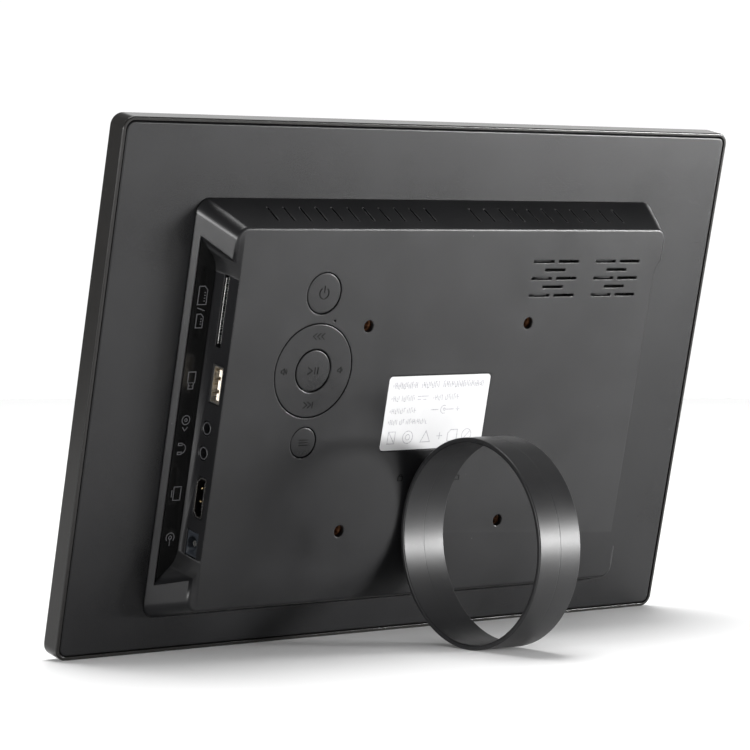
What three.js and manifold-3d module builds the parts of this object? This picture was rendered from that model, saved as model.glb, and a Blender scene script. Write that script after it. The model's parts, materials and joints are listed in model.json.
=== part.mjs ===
// A digital photo frame with a 10.1 inch screen, standing on a round stand behind it.
// Millimetres. Every piece is built in the frame's own plate axes, then the whole frame leans back:
//   x  across the width, the sockets are at +x
//   y  from the screen to the rear; 0 is the rear face of the flat plate
//   z  up along the plate; 0 is the middle of the plate
import * as THREE from 'three';
import { mergeVertices } from 'three/addons/utils/BufferGeometryUtils.js';
import Module from 'manifold-3d';

const wasm = await Module();
wasm.setup();

// ---- driving dimensions ----
const GAP = 0.3;
const ROUND = 8;
const CIRCLE = 40;
const SMALL_CIRCLE = 20;

const FRAME_WIDTH = 282;
const FRAME_HEIGHT = 190;
const FRAME_DEPTH = 8.6;
const FRAME_CORNER = 4.5;
const RIM_WALL = 1.3;
const BEZEL_WALL = 2.1;
const EDGE_ROUND = 1.3;
const RIM_CHAMFER = 0.4;
const EDGE_STEPS = 4;

const WINDOW_FLARE = 1.2;
const WINDOW_CORNER = 0.6;
const FLARE_CORNER = 1.6;
const RIB_THICK = 1.2;
const RIB_HALF_X = 90;
const RIB_HALF_Z = 50;

const SCREEN_WIDTH = 222.7;
const SCREEN_HEIGHT = 125.3;
const MODULE_WIDTH = 235;
const MODULE_HEIGHT = 143;
const PANEL_WIDTH = 231;
const PANEL_HEIGHT = 139;
const PANEL_THICK = 1.2;

const PLATE_THICK = 1.9;
const PLATE_EDGE = 0.7;
const PLATE_OPENING = { left: -70, right: 88, bottom: -66, top: 46, corner: 4 };
const PLATE_SCREW_HOLE = 1.6;
const PLATE_SCREW_SINK = 3.2;

const COVER_DEPTH = 16.5;
const COVER_WALL = 1.8;
const COVER_HALF = 107;
const COVER_TOP = 68;
const COVER_BOTTOM = -82;
const COVER_DRAFT = 0.43;
const COVER_CORNER = 5.5;
const COVER_EDGE = 1.2;
const CORNER_TAPER = 0.06;

const RECESS_WALL_X = 97;
const RECESS_TOP = 46.6;
const RECESS_BOTTOM = -60.3;
const RECESS_FLOOR = 2.2;
const RECESS_LIP = 3;
const RECESS_LIP_X = 105.3;
const RECESS_CORNER = 2.6;
const RECESS_OUTSIDE_X = COVER_HALF + 6;

const SPEAKER_SLOT = { length: 10, height: 1, pitch: 3.17, pairOffset: 6.05, rows: 5 };
const COOLING_SLOT = { starts: [-81.2, 10.2], count: 11, pitch: 7.05, width: 0.8, front: 5, rear: 12.3 };
const RESET_HOLE = { x: 53.1, z: 28.1, radius: 0.45 };

const HOLE_PATTERN = 75;
const PATTERN_Z = -11.6;
const FACE_HOLE = 2.2;

const RING_RADIUS = 37.5;
const RING_WALL = 1.8;
const RING_WIDTH = 19;
const STAND_Z = -44;
const STAND_SHAFT = 6.8;

const KEYS_X = 59.5;
const POWER_Z = 38;
const NAV_Z = 10.3;
const MENU_Z = -15.6;
const POWER_RADIUS = 7.3;
const NAV_RADIUS = 16.8;
const NAV_INNER = 7.75;
const PLAY_RADIUS = 7.4;
const MENU_RADIUS = 5.45;
const KEY_CLEARANCE = 0.3;
const KEY_BOTTOM = 13;
const NAV_BOTTOM = 12.6;
const KEY_FLANGE = 1.2;
const KEY_FLANGE_THICK = 1;
const KEY_TRAVEL = 0.75;
const NAV_TRAVEL = 1;
const SWITCH_REACH = 13.3;
const SWITCH_HALF = 2.6;
const SWITCH_TOP = 10.6;
const SWITCH_PLUNGER = 1.6;

const MAIN_BOARD_Y = 4.2;
const MAIN_BOARD_THICK = 1.6;
const KEY_BOARD_Y = 6.3;
const KEY_BOARD_THICK = 1.2;

const SPEAKER_X = [-46.8, -77.5];
const SPEAKER_Z = 42.6;
const SPEAKER_RADIUS = 13;
const SPEAKER_STEPS = 32;

const INSERT_RADIUS = 2.8;
const INSERT_BORE = 1.65;
const INSERT_FRONT = 8.2;
const INSERT_BOSS = 4.75;
const INSERT_BOSS_FRONT = 7;

const COVER_BOSS = 3.3;
const COVER_SHANK = 1.2;
const COVER_SCREW_TIP = 7.5;
const BOARD_BOSS = 3.2;
const BOARD_SCREW_TIP = 10;
const KEY_BOSS = 2.4;
const KEY_SHANK = 0.95;
const KEY_SCREW_TIP = 11;
const SHANK_ROOM = 0.35;

const STAND_BOSS = 10;
const STAND_SEAT_Y = 12.2;
const STAND_DISC = 11;
const STAND_DISC_THICK = 1.5;
const STAND_BORE = 2.2;
const STAND_SHANK = 1.9;

const LABEL_X = 0.6;
const LABEL_Z = -6.4;
const LABEL_WIDTH = 47.5;
const LABEL_HEIGHT = 27.3;
const LABEL_THICK = 0.25;
const LABEL_CORNER = 1.5;
const LABEL_POCKET = 0.4;

// ---- derived dimensions ----
const RIM_INNER_X = FRAME_WIDTH / 2 - RIM_WALL;
const RIM_INNER_Z = FRAME_HEIGHT / 2 - RIM_WALL;
const BEZEL_BACK_Y = BEZEL_WALL - FRAME_DEPTH;
const COVER_INNER_Y = COVER_DEPTH - COVER_WALL;
const BOARD_REAR_Y = MAIN_BOARD_Y + MAIN_BOARD_THICK;
const KEY_BOARD_REAR_Y = KEY_BOARD_Y + KEY_BOARD_THICK;
const SOCKET_FRONT_X = RECESS_WALL_X - COVER_WALL - GAP;
const STAND_Y = COVER_DEPTH + GAP + RING_RADIUS;
const SCREW_CORNERS = [[95, 56], [-95, 56], [95, -71], [-95, -71]];
const BOARD_SCREWS = [[-14, -61], [-14, -29], [68, -61], [68, -29]];
const KEY_SCREWS = [[46, -19], [46, 43]];
const PATTERN_HOLES = [
  [HOLE_PATTERN / 2, PATTERN_Z + HOLE_PATTERN / 2],
  [-HOLE_PATTERN / 2, PATTERN_Z + HOLE_PATTERN / 2],
  [HOLE_PATTERN / 2, PATTERN_Z - HOLE_PATTERN / 2],
  [-HOLE_PATTERN / 2, PATTERN_Z - HOLE_PATTERN / 2],
];

// The lean puts the plate's lower rear edge and the ring on one floor line:
//   (STAND_Z + half height) cos(lean) - STAND_Y sin(lean) = RING_RADIUS
const LEAN_RISE = STAND_Z + FRAME_HEIGHT / 2;
const LEAN = Math.acos(RING_RADIUS / Math.hypot(LEAN_RISE, STAND_Y)) - Math.atan2(STAND_Y, LEAN_RISE);

// ---- materials ----
function finish(color, roughness, metalness) {
  return new THREE.MeshStandardMaterial({ color, roughness, metalness });
}

const satinBlack = () => finish(0x232425, 0.45, 0);
const glossBlack = () => finish(0x0b0b0c, 0.12, 0);
const coverGrey = () => finish(0x2b2c2e, 0.5, 0);
const steel = () => finish(0xb4b6b8, 0.35, 0.9);
const brass = () => finish(0xb5904a, 0.35, 0.9);
const boardGreen = () => finish(0x1d4b2c, 0.55, 0);

// ---- geometry helpers ----
function toSolid(geometry) {
  const bare = geometry.clone();
  bare.deleteAttribute('normal');
  bare.deleteAttribute('uv');
  const merged = mergeVertices(bare, 1e-4);
  const mesh = new wasm.Mesh({
    numProp: 3,
    vertProperties: merged.attributes.position.array,
    triVerts: new Uint32Array(merged.index.array),
  });
  return new wasm.Manifold(mesh);
}

function toGeometry(solid) {
  const mesh = solid.getMesh();
  const geometry = new THREE.BufferGeometry();
  geometry.setAttribute('position', new THREE.BufferAttribute(mesh.vertProperties, 3));
  geometry.setIndex(new THREE.BufferAttribute(mesh.triVerts, 1));
  geometry.computeVertexNormals();
  return geometry;
}

// body, plus every geometry in added, minus every geometry in removed
function carve(body, added, removed) {
  let solid = toSolid(body);
  for (const geometry of added) solid = solid.add(toSolid(geometry));
  for (const geometry of removed) solid = solid.subtract(toSolid(geometry));
  return toGeometry(solid);
}

// an outline in x and z, given depth along y
function slab(shape, yFront, yRear, curveSegments = ROUND) {
  const depth = yRear - yFront;
  const geometry = new THREE.ExtrudeGeometry(shape, { depth, bevelEnabled: false, curveSegments });
  geometry.rotateX(Math.PI / 2);
  geometry.translate(0, yRear, 0);
  return geometry;
}

function box(x0, x1, y0, y1, z0, z1) {
  const geometry = new THREE.BoxGeometry(x1 - x0, y1 - y0, z1 - z0);
  geometry.translate((x0 + x1) / 2, (y0 + y1) / 2, (z0 + z1) / 2);
  return geometry;
}

function rodAlongY(radius, yFront, yRear, x, z, steps = SMALL_CIRCLE, frontRadius = radius) {
  const geometry = new THREE.CylinderGeometry(radius, frontRadius, yRear - yFront, steps);
  geometry.translate(x, (yFront + yRear) / 2, z);
  return geometry;
}

function rodAlongX(radius, x0, x1, y, z, steps = SMALL_CIRCLE) {
  const geometry = new THREE.CylinderGeometry(radius, radius, x1 - x0, steps);
  geometry.rotateZ(Math.PI / 2);
  geometry.translate((x0 + x1) / 2, y, z);
  return geometry;
}

function roundedRect(x0, x1, z0, z1, radius) {
  const shape = new THREE.Shape();
  shape.moveTo(x0 + radius, z0);
  shape.lineTo(x1 - radius, z0);
  shape.absarc(x1 - radius, z0 + radius, radius, -Math.PI / 2, 0);
  shape.lineTo(x1, z1 - radius);
  shape.absarc(x1 - radius, z1 - radius, radius, 0, Math.PI / 2);
  shape.lineTo(x0 + radius, z1);
  shape.absarc(x0 + radius, z1 - radius, radius, Math.PI / 2, Math.PI);
  shape.lineTo(x0, z0 + radius);
  shape.absarc(x0 + radius, z0 + radius, radius, Math.PI, Math.PI * 1.5);
  shape.closePath();
  return shape;
}

// the corners of a rounded rectangle as points, the same number at every size
function rectRing(y, x0, x1, z0, z1, radius) {
  const corners = [
    [x1 - radius, z0 + radius, -Math.PI / 2],
    [x1 - radius, z1 - radius, 0],
    [x0 + radius, z1 - radius, Math.PI / 2],
    [x0 + radius, z0 + radius, Math.PI],
  ];
  const points = [];
  for (const [cx, cz, start] of corners) {
    for (let i = 0; i <= ROUND; i += 1) {
      const angle = start + (i / ROUND) * (Math.PI / 2);
      points.push(new THREE.Vector3(cx + radius * Math.cos(angle), y, cz + radius * Math.sin(angle)));
    }
  }
  return points;
}

// a solid through rings of points, from the front ring to the rear ring
function loft(rings) {
  const count = rings[0].length;
  const positions = [];
  const index = [];
  for (const ring of rings) {
    for (const point of ring) positions.push(point.x, point.y, point.z);
  }
  for (let r = 0; r + 1 < rings.length; r += 1) {
    for (let i = 0; i < count; i += 1) {
      const a = r * count + i;
      const b = r * count + ((i + 1) % count);
      index.push(a, a + count, b + count);
      index.push(a, b + count, b);
    }
  }
  const last = (rings.length - 1) * count;
  for (let i = 1; i + 1 < count; i += 1) {
    index.push(0, i, i + 1);
    index.push(last, last + i + 1, last + i);
  }
  const geometry = new THREE.BufferGeometry();
  geometry.setAttribute('position', new THREE.Float32BufferAttribute(positions, 3));
  geometry.setIndex(index);
  return geometry;
}

const plate = new THREE.Group();

function place(name, geometry, material) {
  const mesh = new THREE.Mesh(geometry, material);
  mesh.name = name;
  plate.add(mesh);
  return mesh;
}

// ---- screen side ----
function frameRing(y, inset) {
  const halfX = FRAME_WIDTH / 2 - inset;
  const halfZ = FRAME_HEIGHT / 2 - inset;
  return rectRing(y, -halfX, halfX, -halfZ, halfZ, FRAME_CORNER - inset);
}

function roundOver(yEdge, direction, size, ringAt) {
  const rings = [];
  for (let i = 0; i <= EDGE_STEPS; i += 1) {
    const angle = (i / EDGE_STEPS) * (Math.PI / 2);
    const y = yEdge + direction * size * (1 - Math.sin(angle));
    rings.push(ringAt(y, size * (1 - Math.cos(angle))));
  }
  return rings;
}

function buildBezel() {
  const front = -FRAME_DEPTH;
  const nose = roundOver(front, 1, EDGE_ROUND, frameRing).reverse();
  const body = loft([...nose, frameRing(-RIM_CHAMFER, 0), frameRing(0, RIM_CHAMFER)]);
  const pocket = slab(
    roundedRect(-RIM_INNER_X, RIM_INNER_X, -RIM_INNER_Z, RIM_INNER_Z, FRAME_CORNER - RIM_WALL),
    BEZEL_BACK_Y,
    GAP,
  );
  const halfX = SCREEN_WIDTH / 2;
  const halfZ = SCREEN_HEIGHT / 2;
  const wideX = halfX + WINDOW_FLARE;
  const wideZ = halfZ + WINDOW_FLARE;
  const window = loft([
    rectRing(front - GAP, -wideX, wideX, -wideZ, wideZ, FLARE_CORNER),
    rectRing(BEZEL_BACK_Y + GAP, -halfX, halfX, -halfZ, halfZ, WINDOW_CORNER),
  ]);
  const ribX = MODULE_WIDTH / 2 + GAP;
  const ribZ = MODULE_HEIGHT / 2 + GAP;
  const ribFoot = BEZEL_BACK_Y - 1;
  const ribTop = -PLATE_THICK - 2 * GAP;
  const ribs = [-1, 1].flatMap((side) => {
    const nearX = side * ribX;
    const farX = side * (ribX + RIB_THICK);
    const nearZ = side * ribZ;
    const farZ = side * (ribZ + RIB_THICK);
    return [
      box(Math.min(nearX, farX), Math.max(nearX, farX), ribFoot, ribTop, -RIB_HALF_Z, RIB_HALF_Z),
      box(-RIB_HALF_X, RIB_HALF_X, ribFoot, ribTop, Math.min(nearZ, farZ), Math.max(nearZ, farZ)),
    ];
  });
  const hollow = carve(body, [], [pocket, window]);
  place('front_bezel', carve(hollow, ribs, []), glossBlack());
}

function buildScreen() {
  const glassFront = BEZEL_BACK_Y + GAP;
  const glassBack = glassFront + PANEL_THICK;
  const glassX = PANEL_WIDTH / 2;
  const glassZ = PANEL_HEIGHT / 2;
  place('lcd_panel', box(-glassX, glassX, glassFront, glassBack, -glassZ, glassZ), glossBlack());
  const halfX = MODULE_WIDTH / 2;
  const halfZ = MODULE_HEIGHT / 2;
  const trayBack = -PLATE_THICK - GAP;
  place('backlight_tray', box(-halfX, halfX, glassBack + GAP, trayBack, -halfZ, halfZ), steel());
}

function buildBackPlate() {
  const halfX = RIM_INNER_X - GAP;
  const halfZ = RIM_INNER_Z - GAP;
  const corner = FRAME_CORNER - RIM_WALL - GAP;
  const ringAt = (y, inset) =>
    rectRing(y, inset - halfX, halfX - inset, inset - halfZ, halfZ - inset, corner - inset);
  const body = loft([ringAt(-PLATE_THICK, 0), ...roundOver(0, -1, PLATE_EDGE, ringAt)]);
  const { left, right, bottom, top, corner: openingCorner } = PLATE_OPENING;
  const opening = slab(roundedRect(left, right, bottom, top, openingCorner), -PLATE_THICK - 1, 1);
  const screwHoles = SCREW_CORNERS.flatMap(([x, z]) => [
    rodAlongY(PLATE_SCREW_HOLE, -PLATE_THICK - 1, 1, x, z),
    rodAlongY(PLATE_SCREW_HOLE, -PLATE_THICK - 0.1, -0.4, x, z, SMALL_CIRCLE, PLATE_SCREW_SINK),
  ]);
  place('back_plate', carve(body, [], [opening, ...screwHoles]), coverGrey());
}

// ---- rear cover ----
function coverRing(y, wall = 0) {
  const inset = y * COVER_DRAFT + wall;
  const radius = Math.max(COVER_CORNER - CORNER_TAPER * y - wall, 1);
  return rectRing(y, inset - COVER_HALF, COVER_HALF - inset, COVER_BOTTOM + inset, COVER_TOP - inset, radius);
}

function recessPlan(side, wallX, spread, outerX) {
  const top = RECESS_TOP + spread;
  const bottom = RECESS_BOTTOM - spread;
  const reach = outerX - wallX;
  const r = RECESS_CORNER;
  const pull = 1.4 * r;
  const shape = new THREE.Shape();
  shape.moveTo(side * outerX, top + reach);
  shape.lineTo(side * (wallX + r), top + r);
  shape.quadraticCurveTo(side * wallX, top, side * wallX, top - pull);
  shape.lineTo(side * wallX, bottom + pull);
  shape.quadraticCurveTo(side * wallX, bottom, side * (wallX + r), bottom - r);
  shape.lineTo(side * outerX, bottom - reach);
  shape.closePath();
  return shape;
}

function coverShell() {
  const wallStart = GAP;
  const edge = COVER_DEPTH - COVER_EDGE;
  const nose = [];
  for (let i = 0; i <= EDGE_STEPS; i += 1) {
    const angle = (i / EDGE_STEPS) * (Math.PI / 2);
    const y = edge + COVER_EDGE * Math.sin(angle);
    nose.push(coverRing(edge, COVER_EDGE * (1 - Math.cos(angle))).map((p) => new THREE.Vector3(p.x, y, p.z)));
  }
  const outer = loft([coverRing(wallStart), ...nose]);
  const cavity = loft([coverRing(wallStart - 1, COVER_WALL), coverRing(COVER_INNER_Y, COVER_WALL)]);
  const guardWall = COVER_WALL * 0.8;
  let cavitySolid = toSolid(cavity);
  for (const side of [-1, 1]) {
    const guard = slab(
      recessPlan(side, RECESS_WALL_X - COVER_WALL, guardWall, RECESS_OUTSIDE_X),
      -2,
      COVER_DEPTH,
    );
    cavitySolid = cavitySolid.subtract(toSolid(guard));
  }
  let shell = toSolid(outer);
  for (const side of [-1, 1]) {
    const tall = slab(recessPlan(side, RECESS_WALL_X, 0, RECESS_OUTSIDE_X), RECESS_LIP, COVER_DEPTH + 1);
    shell = shell.subtract(toSolid(tall));
  }
  const floorCut = slab(recessPlan(1, RECESS_WALL_X, 0, RECESS_LIP_X), RECESS_FLOOR, COVER_DEPTH + 1);
  return shell.subtract(toSolid(floorCut)).subtract(cavitySolid);
}

function speakerSlots() {
  const { length, height, pitch, pairOffset, rows } = SPEAKER_SLOT;
  const slots = [];
  for (const x of SPEAKER_X) {
    for (let row = 0; row < rows; row += 1) {
      const z = SPEAKER_Z + (row - (rows - 1) / 2) * pitch;
      const centres = row % 2 === 0 ? [x - pairOffset, x + pairOffset] : [x];
      for (const c of centres) {
        const [x0, x1] = [c - length / 2, c + length / 2];
        slots.push(box(x0, x1, COVER_INNER_Y - 1, COVER_DEPTH + 1, z - height / 2, z + height / 2));
      }
    }
  }
  return slots;
}

function coolingSlots() {
  const { starts, count, pitch, width, front, rear } = COOLING_SLOT;
  const low = COVER_TOP - COVER_DRAFT * rear - 2 * COVER_WALL - 3;
  const slots = [];
  for (const start of starts) {
    for (let i = 0; i < count; i += 1) {
      const x = start + i * pitch;
      slots.push(box(x - width / 2, x + width / 2, front, rear, low, COVER_TOP + 2));
    }
  }
  return slots;
}

function keyHoles() {
  const hole = (radius, z) =>
    rodAlongY(radius + KEY_CLEARANCE, COVER_INNER_Y - 1, COVER_DEPTH + 1, KEYS_X, z, CIRCLE);
  const { x, z, radius } = RESET_HOLE;
  const reset = rodAlongY(radius, COVER_INNER_Y - 1, COVER_DEPTH + 1, x, z, ROUND);
  return [hole(POWER_RADIUS, POWER_Z), hole(NAV_RADIUS, NAV_Z), hole(MENU_RADIUS, MENU_Z), reset];
}

// sockets: centre z, centre y, length along z, height along y
const CARD = { z: 30.4, y: 9.5, length: 24.6, height: 2.4 };
const USB = { z: 5.05, y: 11.6, length: 13.1, height: 5.4 };
const JACKS = [{ name: 'av_jack', z: -11 }, { name: 'headphone_jack', z: -19.8 }];
const JACK_Y = 9.5;
const JACK_BARREL = 2.35;
const JACK_BORE = 1.75;
const JACK_HALF = 3;
const JACK_TOP = 12.5;
const SHELL_WALL = 0.4;
const SHELL_NOSE_X = 96.9;
const HD_CHAMFER = 1.6;
const DC_NOSE_X = 96.7;
const DC_BORE = 2.7;
const DC_PIN = 1;
const FOOT_INSET = 2.4;
const FOOT_LENGTH = 4;
const HD = { z: -35.45, y: 10.75, length: 14.1, height: 4.9 };
const DC = { z: -52.3, y: 9.8, length: 8.6, height: 6 };

function hdShape(grow) {
  const halfZ = HD.length / 2 + grow;
  const low = HD.y - HD.height / 2 - grow;
  const high = HD.y + HD.height / 2 + grow;
  const shape = new THREE.Shape();
  shape.moveTo(high, HD.z - halfZ);
  shape.lineTo(high, HD.z + halfZ);
  shape.lineTo(low + HD_CHAMFER, HD.z + halfZ);
  shape.lineTo(low, HD.z + halfZ - HD_CHAMFER);
  shape.lineTo(low, HD.z - halfZ + HD_CHAMFER);
  shape.lineTo(low + HD_CHAMFER, HD.z - halfZ);
  shape.closePath();
  return shape;
}

// an outline in y and z, given length along x
function bar(shape, x0, x1) {
  const geometry = new THREE.ExtrudeGeometry(shape, { depth: x1 - x0, bevelEnabled: false });
  const turn = new THREE.Matrix4().makeBasis(
    new THREE.Vector3(0, 1, 0),
    new THREE.Vector3(0, 0, 1),
    new THREE.Vector3(1, 0, 0),
  );
  geometry.applyMatrix4(turn);
  geometry.translate(x0, 0, 0);
  return geometry;
}

function boxAround(port, grow, x0, x1) {
  const halfY = port.height / 2 + grow;
  const halfZ = port.length / 2 + grow;
  return box(x0, x1, port.y - halfY, port.y + halfY, port.z - halfZ, port.z + halfZ);
}

function socketCuts() {
  const x0 = RECESS_WALL_X - COVER_WALL - 2;
  const x1 = RECESS_WALL_X + 1;
  return [
    boxAround(CARD, GAP, x0, x1),
    boxAround(USB, GAP, x0, x1),
    boxAround(DC, GAP, x0, x1),
    bar(hdShape(GAP), x0, x1),
    ...JACKS.map(({ z }) => rodAlongX(JACK_BARREL + GAP, x0, x1, JACK_Y, z)),
  ];
}

function buildCover() {
  const insideY = COVER_INNER_Y + 0.5;
  const post = (radius, front) => ([x, z]) => rodAlongY(radius, front, insideY, x, z);
  const bore = (radius, front, rear) => ([x, z]) => rodAlongY(radius, front, rear, x, z);
  const bosses = [
    ...PATTERN_HOLES.map(post(INSERT_BOSS, INSERT_BOSS_FRONT)),
    ...SCREW_CORNERS.map(post(COVER_BOSS, 2 * GAP)),
    ...BOARD_SCREWS.map(post(BOARD_BOSS, BOARD_REAR_Y + GAP)),
    ...KEY_SCREWS.map(post(KEY_BOSS, KEY_BOARD_REAR_Y + GAP)),
    rodAlongY(STAND_BOSS, STAND_SEAT_Y, insideY, 0, STAND_Z, CIRCLE),
  ];
  const holes = [
    ...PATTERN_HOLES.map(bore(INSERT_RADIUS + GAP, INSERT_BOSS_FRONT - 1, COVER_INNER_Y)),
    ...PATTERN_HOLES.map(bore(FACE_HOLE, INSERT_BOSS_FRONT - 1, COVER_DEPTH + 1)),
    ...SCREW_CORNERS.map(bore(COVER_SHANK + SHANK_ROOM, 0, COVER_SCREW_TIP + 1.5)),
    ...BOARD_SCREWS.map(bore(COVER_SHANK + SHANK_ROOM, BOARD_REAR_Y, BOARD_SCREW_TIP + 1)),
    ...KEY_SCREWS.map(bore(KEY_SHANK + GAP, KEY_BOARD_REAR_Y, KEY_SCREW_TIP + 1)),
    rodAlongY(STAND_SHAFT + GAP, STAND_SEAT_Y - 1, COVER_DEPTH + 1, 0, STAND_Z, CIRCLE),
    slab(labelOutline(GAP), COVER_DEPTH - LABEL_POCKET, COVER_DEPTH + 1),
    ...speakerSlots(),
    ...coolingSlots(),
    ...keyHoles(),
    ...socketCuts(),
  ];
  place('rear_cover', carve(toGeometry(coverShell()), bosses, holes), coverGrey());
}

function labelOutline(grow) {
  const halfX = LABEL_WIDTH / 2 + grow;
  const halfZ = LABEL_HEIGHT / 2 + grow;
  return roundedRect(LABEL_X - halfX, LABEL_X + halfX, LABEL_Z - halfZ, LABEL_Z + halfZ, LABEL_CORNER);
}

function buildLabels() {
  const y = COVER_DEPTH - LABEL_POCKET + GAP;
  place('rating_label', slab(labelOutline(0), y, y + LABEL_THICK), finish(0xe9e9e8, 0.6, 0));
  const strip = slab(
    recessPlan(1, RECESS_WALL_X + GAP, -GAP, RECESS_LIP_X - GAP),
    RECESS_FLOOR + GAP,
    RECESS_LIP - 0.1,
  );
  place('port_label_strip', strip, glossBlack());
}

// ---- sockets and boards ----
function buildBoards() {
  const outline = new THREE.Shape();
  outline.moveTo(-22, -67);
  outline.lineTo(93, -67);
  outline.lineTo(93, 46);
  outline.lineTo(66, 46);
  outline.lineTo(66, -23);
  outline.lineTo(-22, -23);
  outline.closePath();
  const board = slab(outline, MAIN_BOARD_Y, BOARD_REAR_Y);
  const chipBottom = BOARD_REAR_Y - 0.2;
  const chips = [
    box(20, 38, chipBottom, BOARD_REAR_Y + 1.2, -44, -30),
    box(-4, 8, chipBottom, BOARD_REAR_Y + 1.1, -63, -55),
    box(44, 56, chipBottom, BOARD_REAR_Y + 1.4, -42, -30),
    box(52, 60, chipBottom, BOARD_REAR_Y + 3, -60, -52),
  ];
  const holes = BOARD_SCREWS.map(([x, z]) => rodAlongY(1.6, MAIN_BOARD_Y - 1, BOARD_REAR_Y + 1, x, z));
  place('main_board', carve(board, chips, holes), boardGreen());

  const keyBoard = slab(roundedRect(43, 78, -23, 47, 2), KEY_BOARD_Y, KEY_BOARD_REAR_Y);
  const keyHolesCut = KEY_SCREWS.map(([x, z]) =>
    rodAlongY(1.3, KEY_BOARD_Y - 1, KEY_BOARD_REAR_Y + 1, x, z));
  place('key_board', carve(keyBoard, [], keyHolesCut), boardGreen());
}

function buildCardSocket() {
  const shell = box(71, SOCKET_FRONT_X, 7.8, 11.2, CARD.z - 14, CARD.z + 14);
  const mouth = box(74, 97, CARD.y - 1.1, CARD.y + 1.1, CARD.z - 12.2, CARD.z + 12.2);
  place('card_socket', carve(shell, [], [mouth]), steel());
}

function feet(port, depthX) {
  const low = port.y - port.height / 2;
  const halfZ = port.length / 2 - FOOT_INSET;
  return [-1, 1].map((side) => {
    const z = port.z + side * halfZ;
    return box(depthX, depthX + FOOT_LENGTH, BOARD_REAR_Y + GAP, low + GAP, z - 0.5, z + 0.5);
  });
}

function buildUsb() {
  const back = 83;
  const shell = boxAround(USB, 0, back, SHELL_NOSE_X);
  const mouth = boxAround(USB, -SHELL_WALL, back + 1, RECESS_WALL_X + 1);
  place('usb_socket', carve(shell, feet(USB, back + 3), [mouth]), steel());
  const y = USB.y + 0.5;
  const tongue = box(back + 1 + GAP, 95.6, y, y + 1.6, USB.z - 5.4, USB.z + 5.4);
  place('usb_tongue', tongue, finish(0xe8e2d6, 0.5, 0));
}

function buildJacks() {
  for (const { name, z } of JACKS) {
    const back = 83;
    const body = box(back, SOCKET_FRONT_X, BOARD_REAR_Y + GAP, JACK_TOP, z - JACK_HALF, z + JACK_HALF);
    const barrel = rodAlongX(JACK_BARREL, SOCKET_FRONT_X - 0.4, SHELL_NOSE_X, JACK_Y, z);
    const bore = rodAlongX(JACK_BORE, back + 2, RECESS_WALL_X + 1, JACK_Y, z);
    place(name, carve(body, [barrel], [bore]), satinBlack());
  }
}

function buildHd() {
  const back = 84;
  const shell = bar(hdShape(0), back, SHELL_NOSE_X);
  const mouth = bar(hdShape(-SHELL_WALL), back + 1, RECESS_WALL_X + 1);
  place('hd_socket', carve(shell, feet(HD, back + 3), [mouth]), steel());
  const tongue = box(back + 1 + GAP, 95.4, HD.y - 0.3, HD.y + 0.9, HD.z - 5, HD.z + 5);
  place('hd_tongue', tongue, satinBlack());
}

function buildDcJack() {
  const halfZ = DC.length / 2;
  const top = DC.y + DC.height / 2;
  const back = 83;
  const boreEnd = back + 2.5;
  const body = box(back, SOCKET_FRONT_X, BOARD_REAR_Y + GAP, top, DC.z - halfZ, DC.z + halfZ);
  const nose = boxAround(DC, 0, SOCKET_FRONT_X - 0.4, DC_NOSE_X);
  const bore = rodAlongX(DC_BORE, boreEnd, RECESS_WALL_X + 1, DC.y, DC.z);
  place('dc_jack', carve(body, [nose], [bore]), finish(0x1b2027, 0.4, 0));
  place('dc_pin', rodAlongX(DC_PIN, boreEnd + GAP, DC_NOSE_X - 1.1, DC.y, DC.z), steel());
}

// ---- keys ----
function keyCap(radius, z, bottom, flange) {
  const cap = rodAlongY(radius, bottom, COVER_DEPTH, KEYS_X, z, CIRCLE);
  if (!flange) return cap;
  const lip = rodAlongY(radius + KEY_FLANGE, bottom, bottom + KEY_FLANGE_THICK, KEYS_X, z, CIRCLE);
  return carve(cap, [lip], []);
}

function buildKeys() {
  place('power_button', keyCap(POWER_RADIUS, POWER_Z, KEY_BOTTOM, true), satinBlack());
  place('menu_button', keyCap(MENU_RADIUS, MENU_Z, KEY_BOTTOM, true), satinBlack());
  place('play_button', keyCap(PLAY_RADIUS, NAV_Z, KEY_BOTTOM, false), satinBlack());
  const inner = rodAlongY(NAV_INNER, NAV_BOTTOM - 1, COVER_DEPTH + 1, KEYS_X, NAV_Z, CIRCLE);
  const nav = carve(keyCap(NAV_RADIUS, NAV_Z, NAV_BOTTOM, true), [], [inner]);
  place('nav_ring', nav, satinBlack());
  const hoop = rodAlongY(10.2, 10.9, NAV_BOTTOM - 0.7, KEYS_X, NAV_Z, CIRCLE);
  const hoopHole = rodAlongY(8.4, 10, NAV_BOTTOM, KEYS_X, NAV_Z, CIRCLE);
  place('nav_carrier', carve(hoop, [], [hoopHole]), satinBlack());
}

function buildSwitch(name, x, z, topY) {
  const base = KEY_BOARD_REAR_Y + GAP;
  const half = SWITCH_HALF;
  const body = box(x - half, x + half, base, SWITCH_TOP, z - half, z + half);
  const plunger = rodAlongY(SWITCH_PLUNGER, SWITCH_TOP - 0.2, topY, x, z, ROUND);
  place(name, carve(body, [plunger], []), satinBlack());
}

function buildSwitches() {
  const capTop = KEY_BOTTOM - KEY_TRAVEL;
  const navTop = NAV_BOTTOM - NAV_TRAVEL;
  buildSwitch('power_switch', KEYS_X, POWER_Z, capTop);
  buildSwitch('play_switch', KEYS_X, NAV_Z, capTop);
  buildSwitch('menu_switch', KEYS_X, MENU_Z, capTop);
  buildSwitch('previous_switch', KEYS_X, NAV_Z + SWITCH_REACH, navTop);
  buildSwitch('next_switch', KEYS_X, NAV_Z - SWITCH_REACH, navTop);
  buildSwitch('volume_up_switch', KEYS_X + SWITCH_REACH, NAV_Z, navTop);
  buildSwitch('volume_down_switch', KEYS_X - SWITCH_REACH, NAV_Z, navTop);
}

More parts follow.
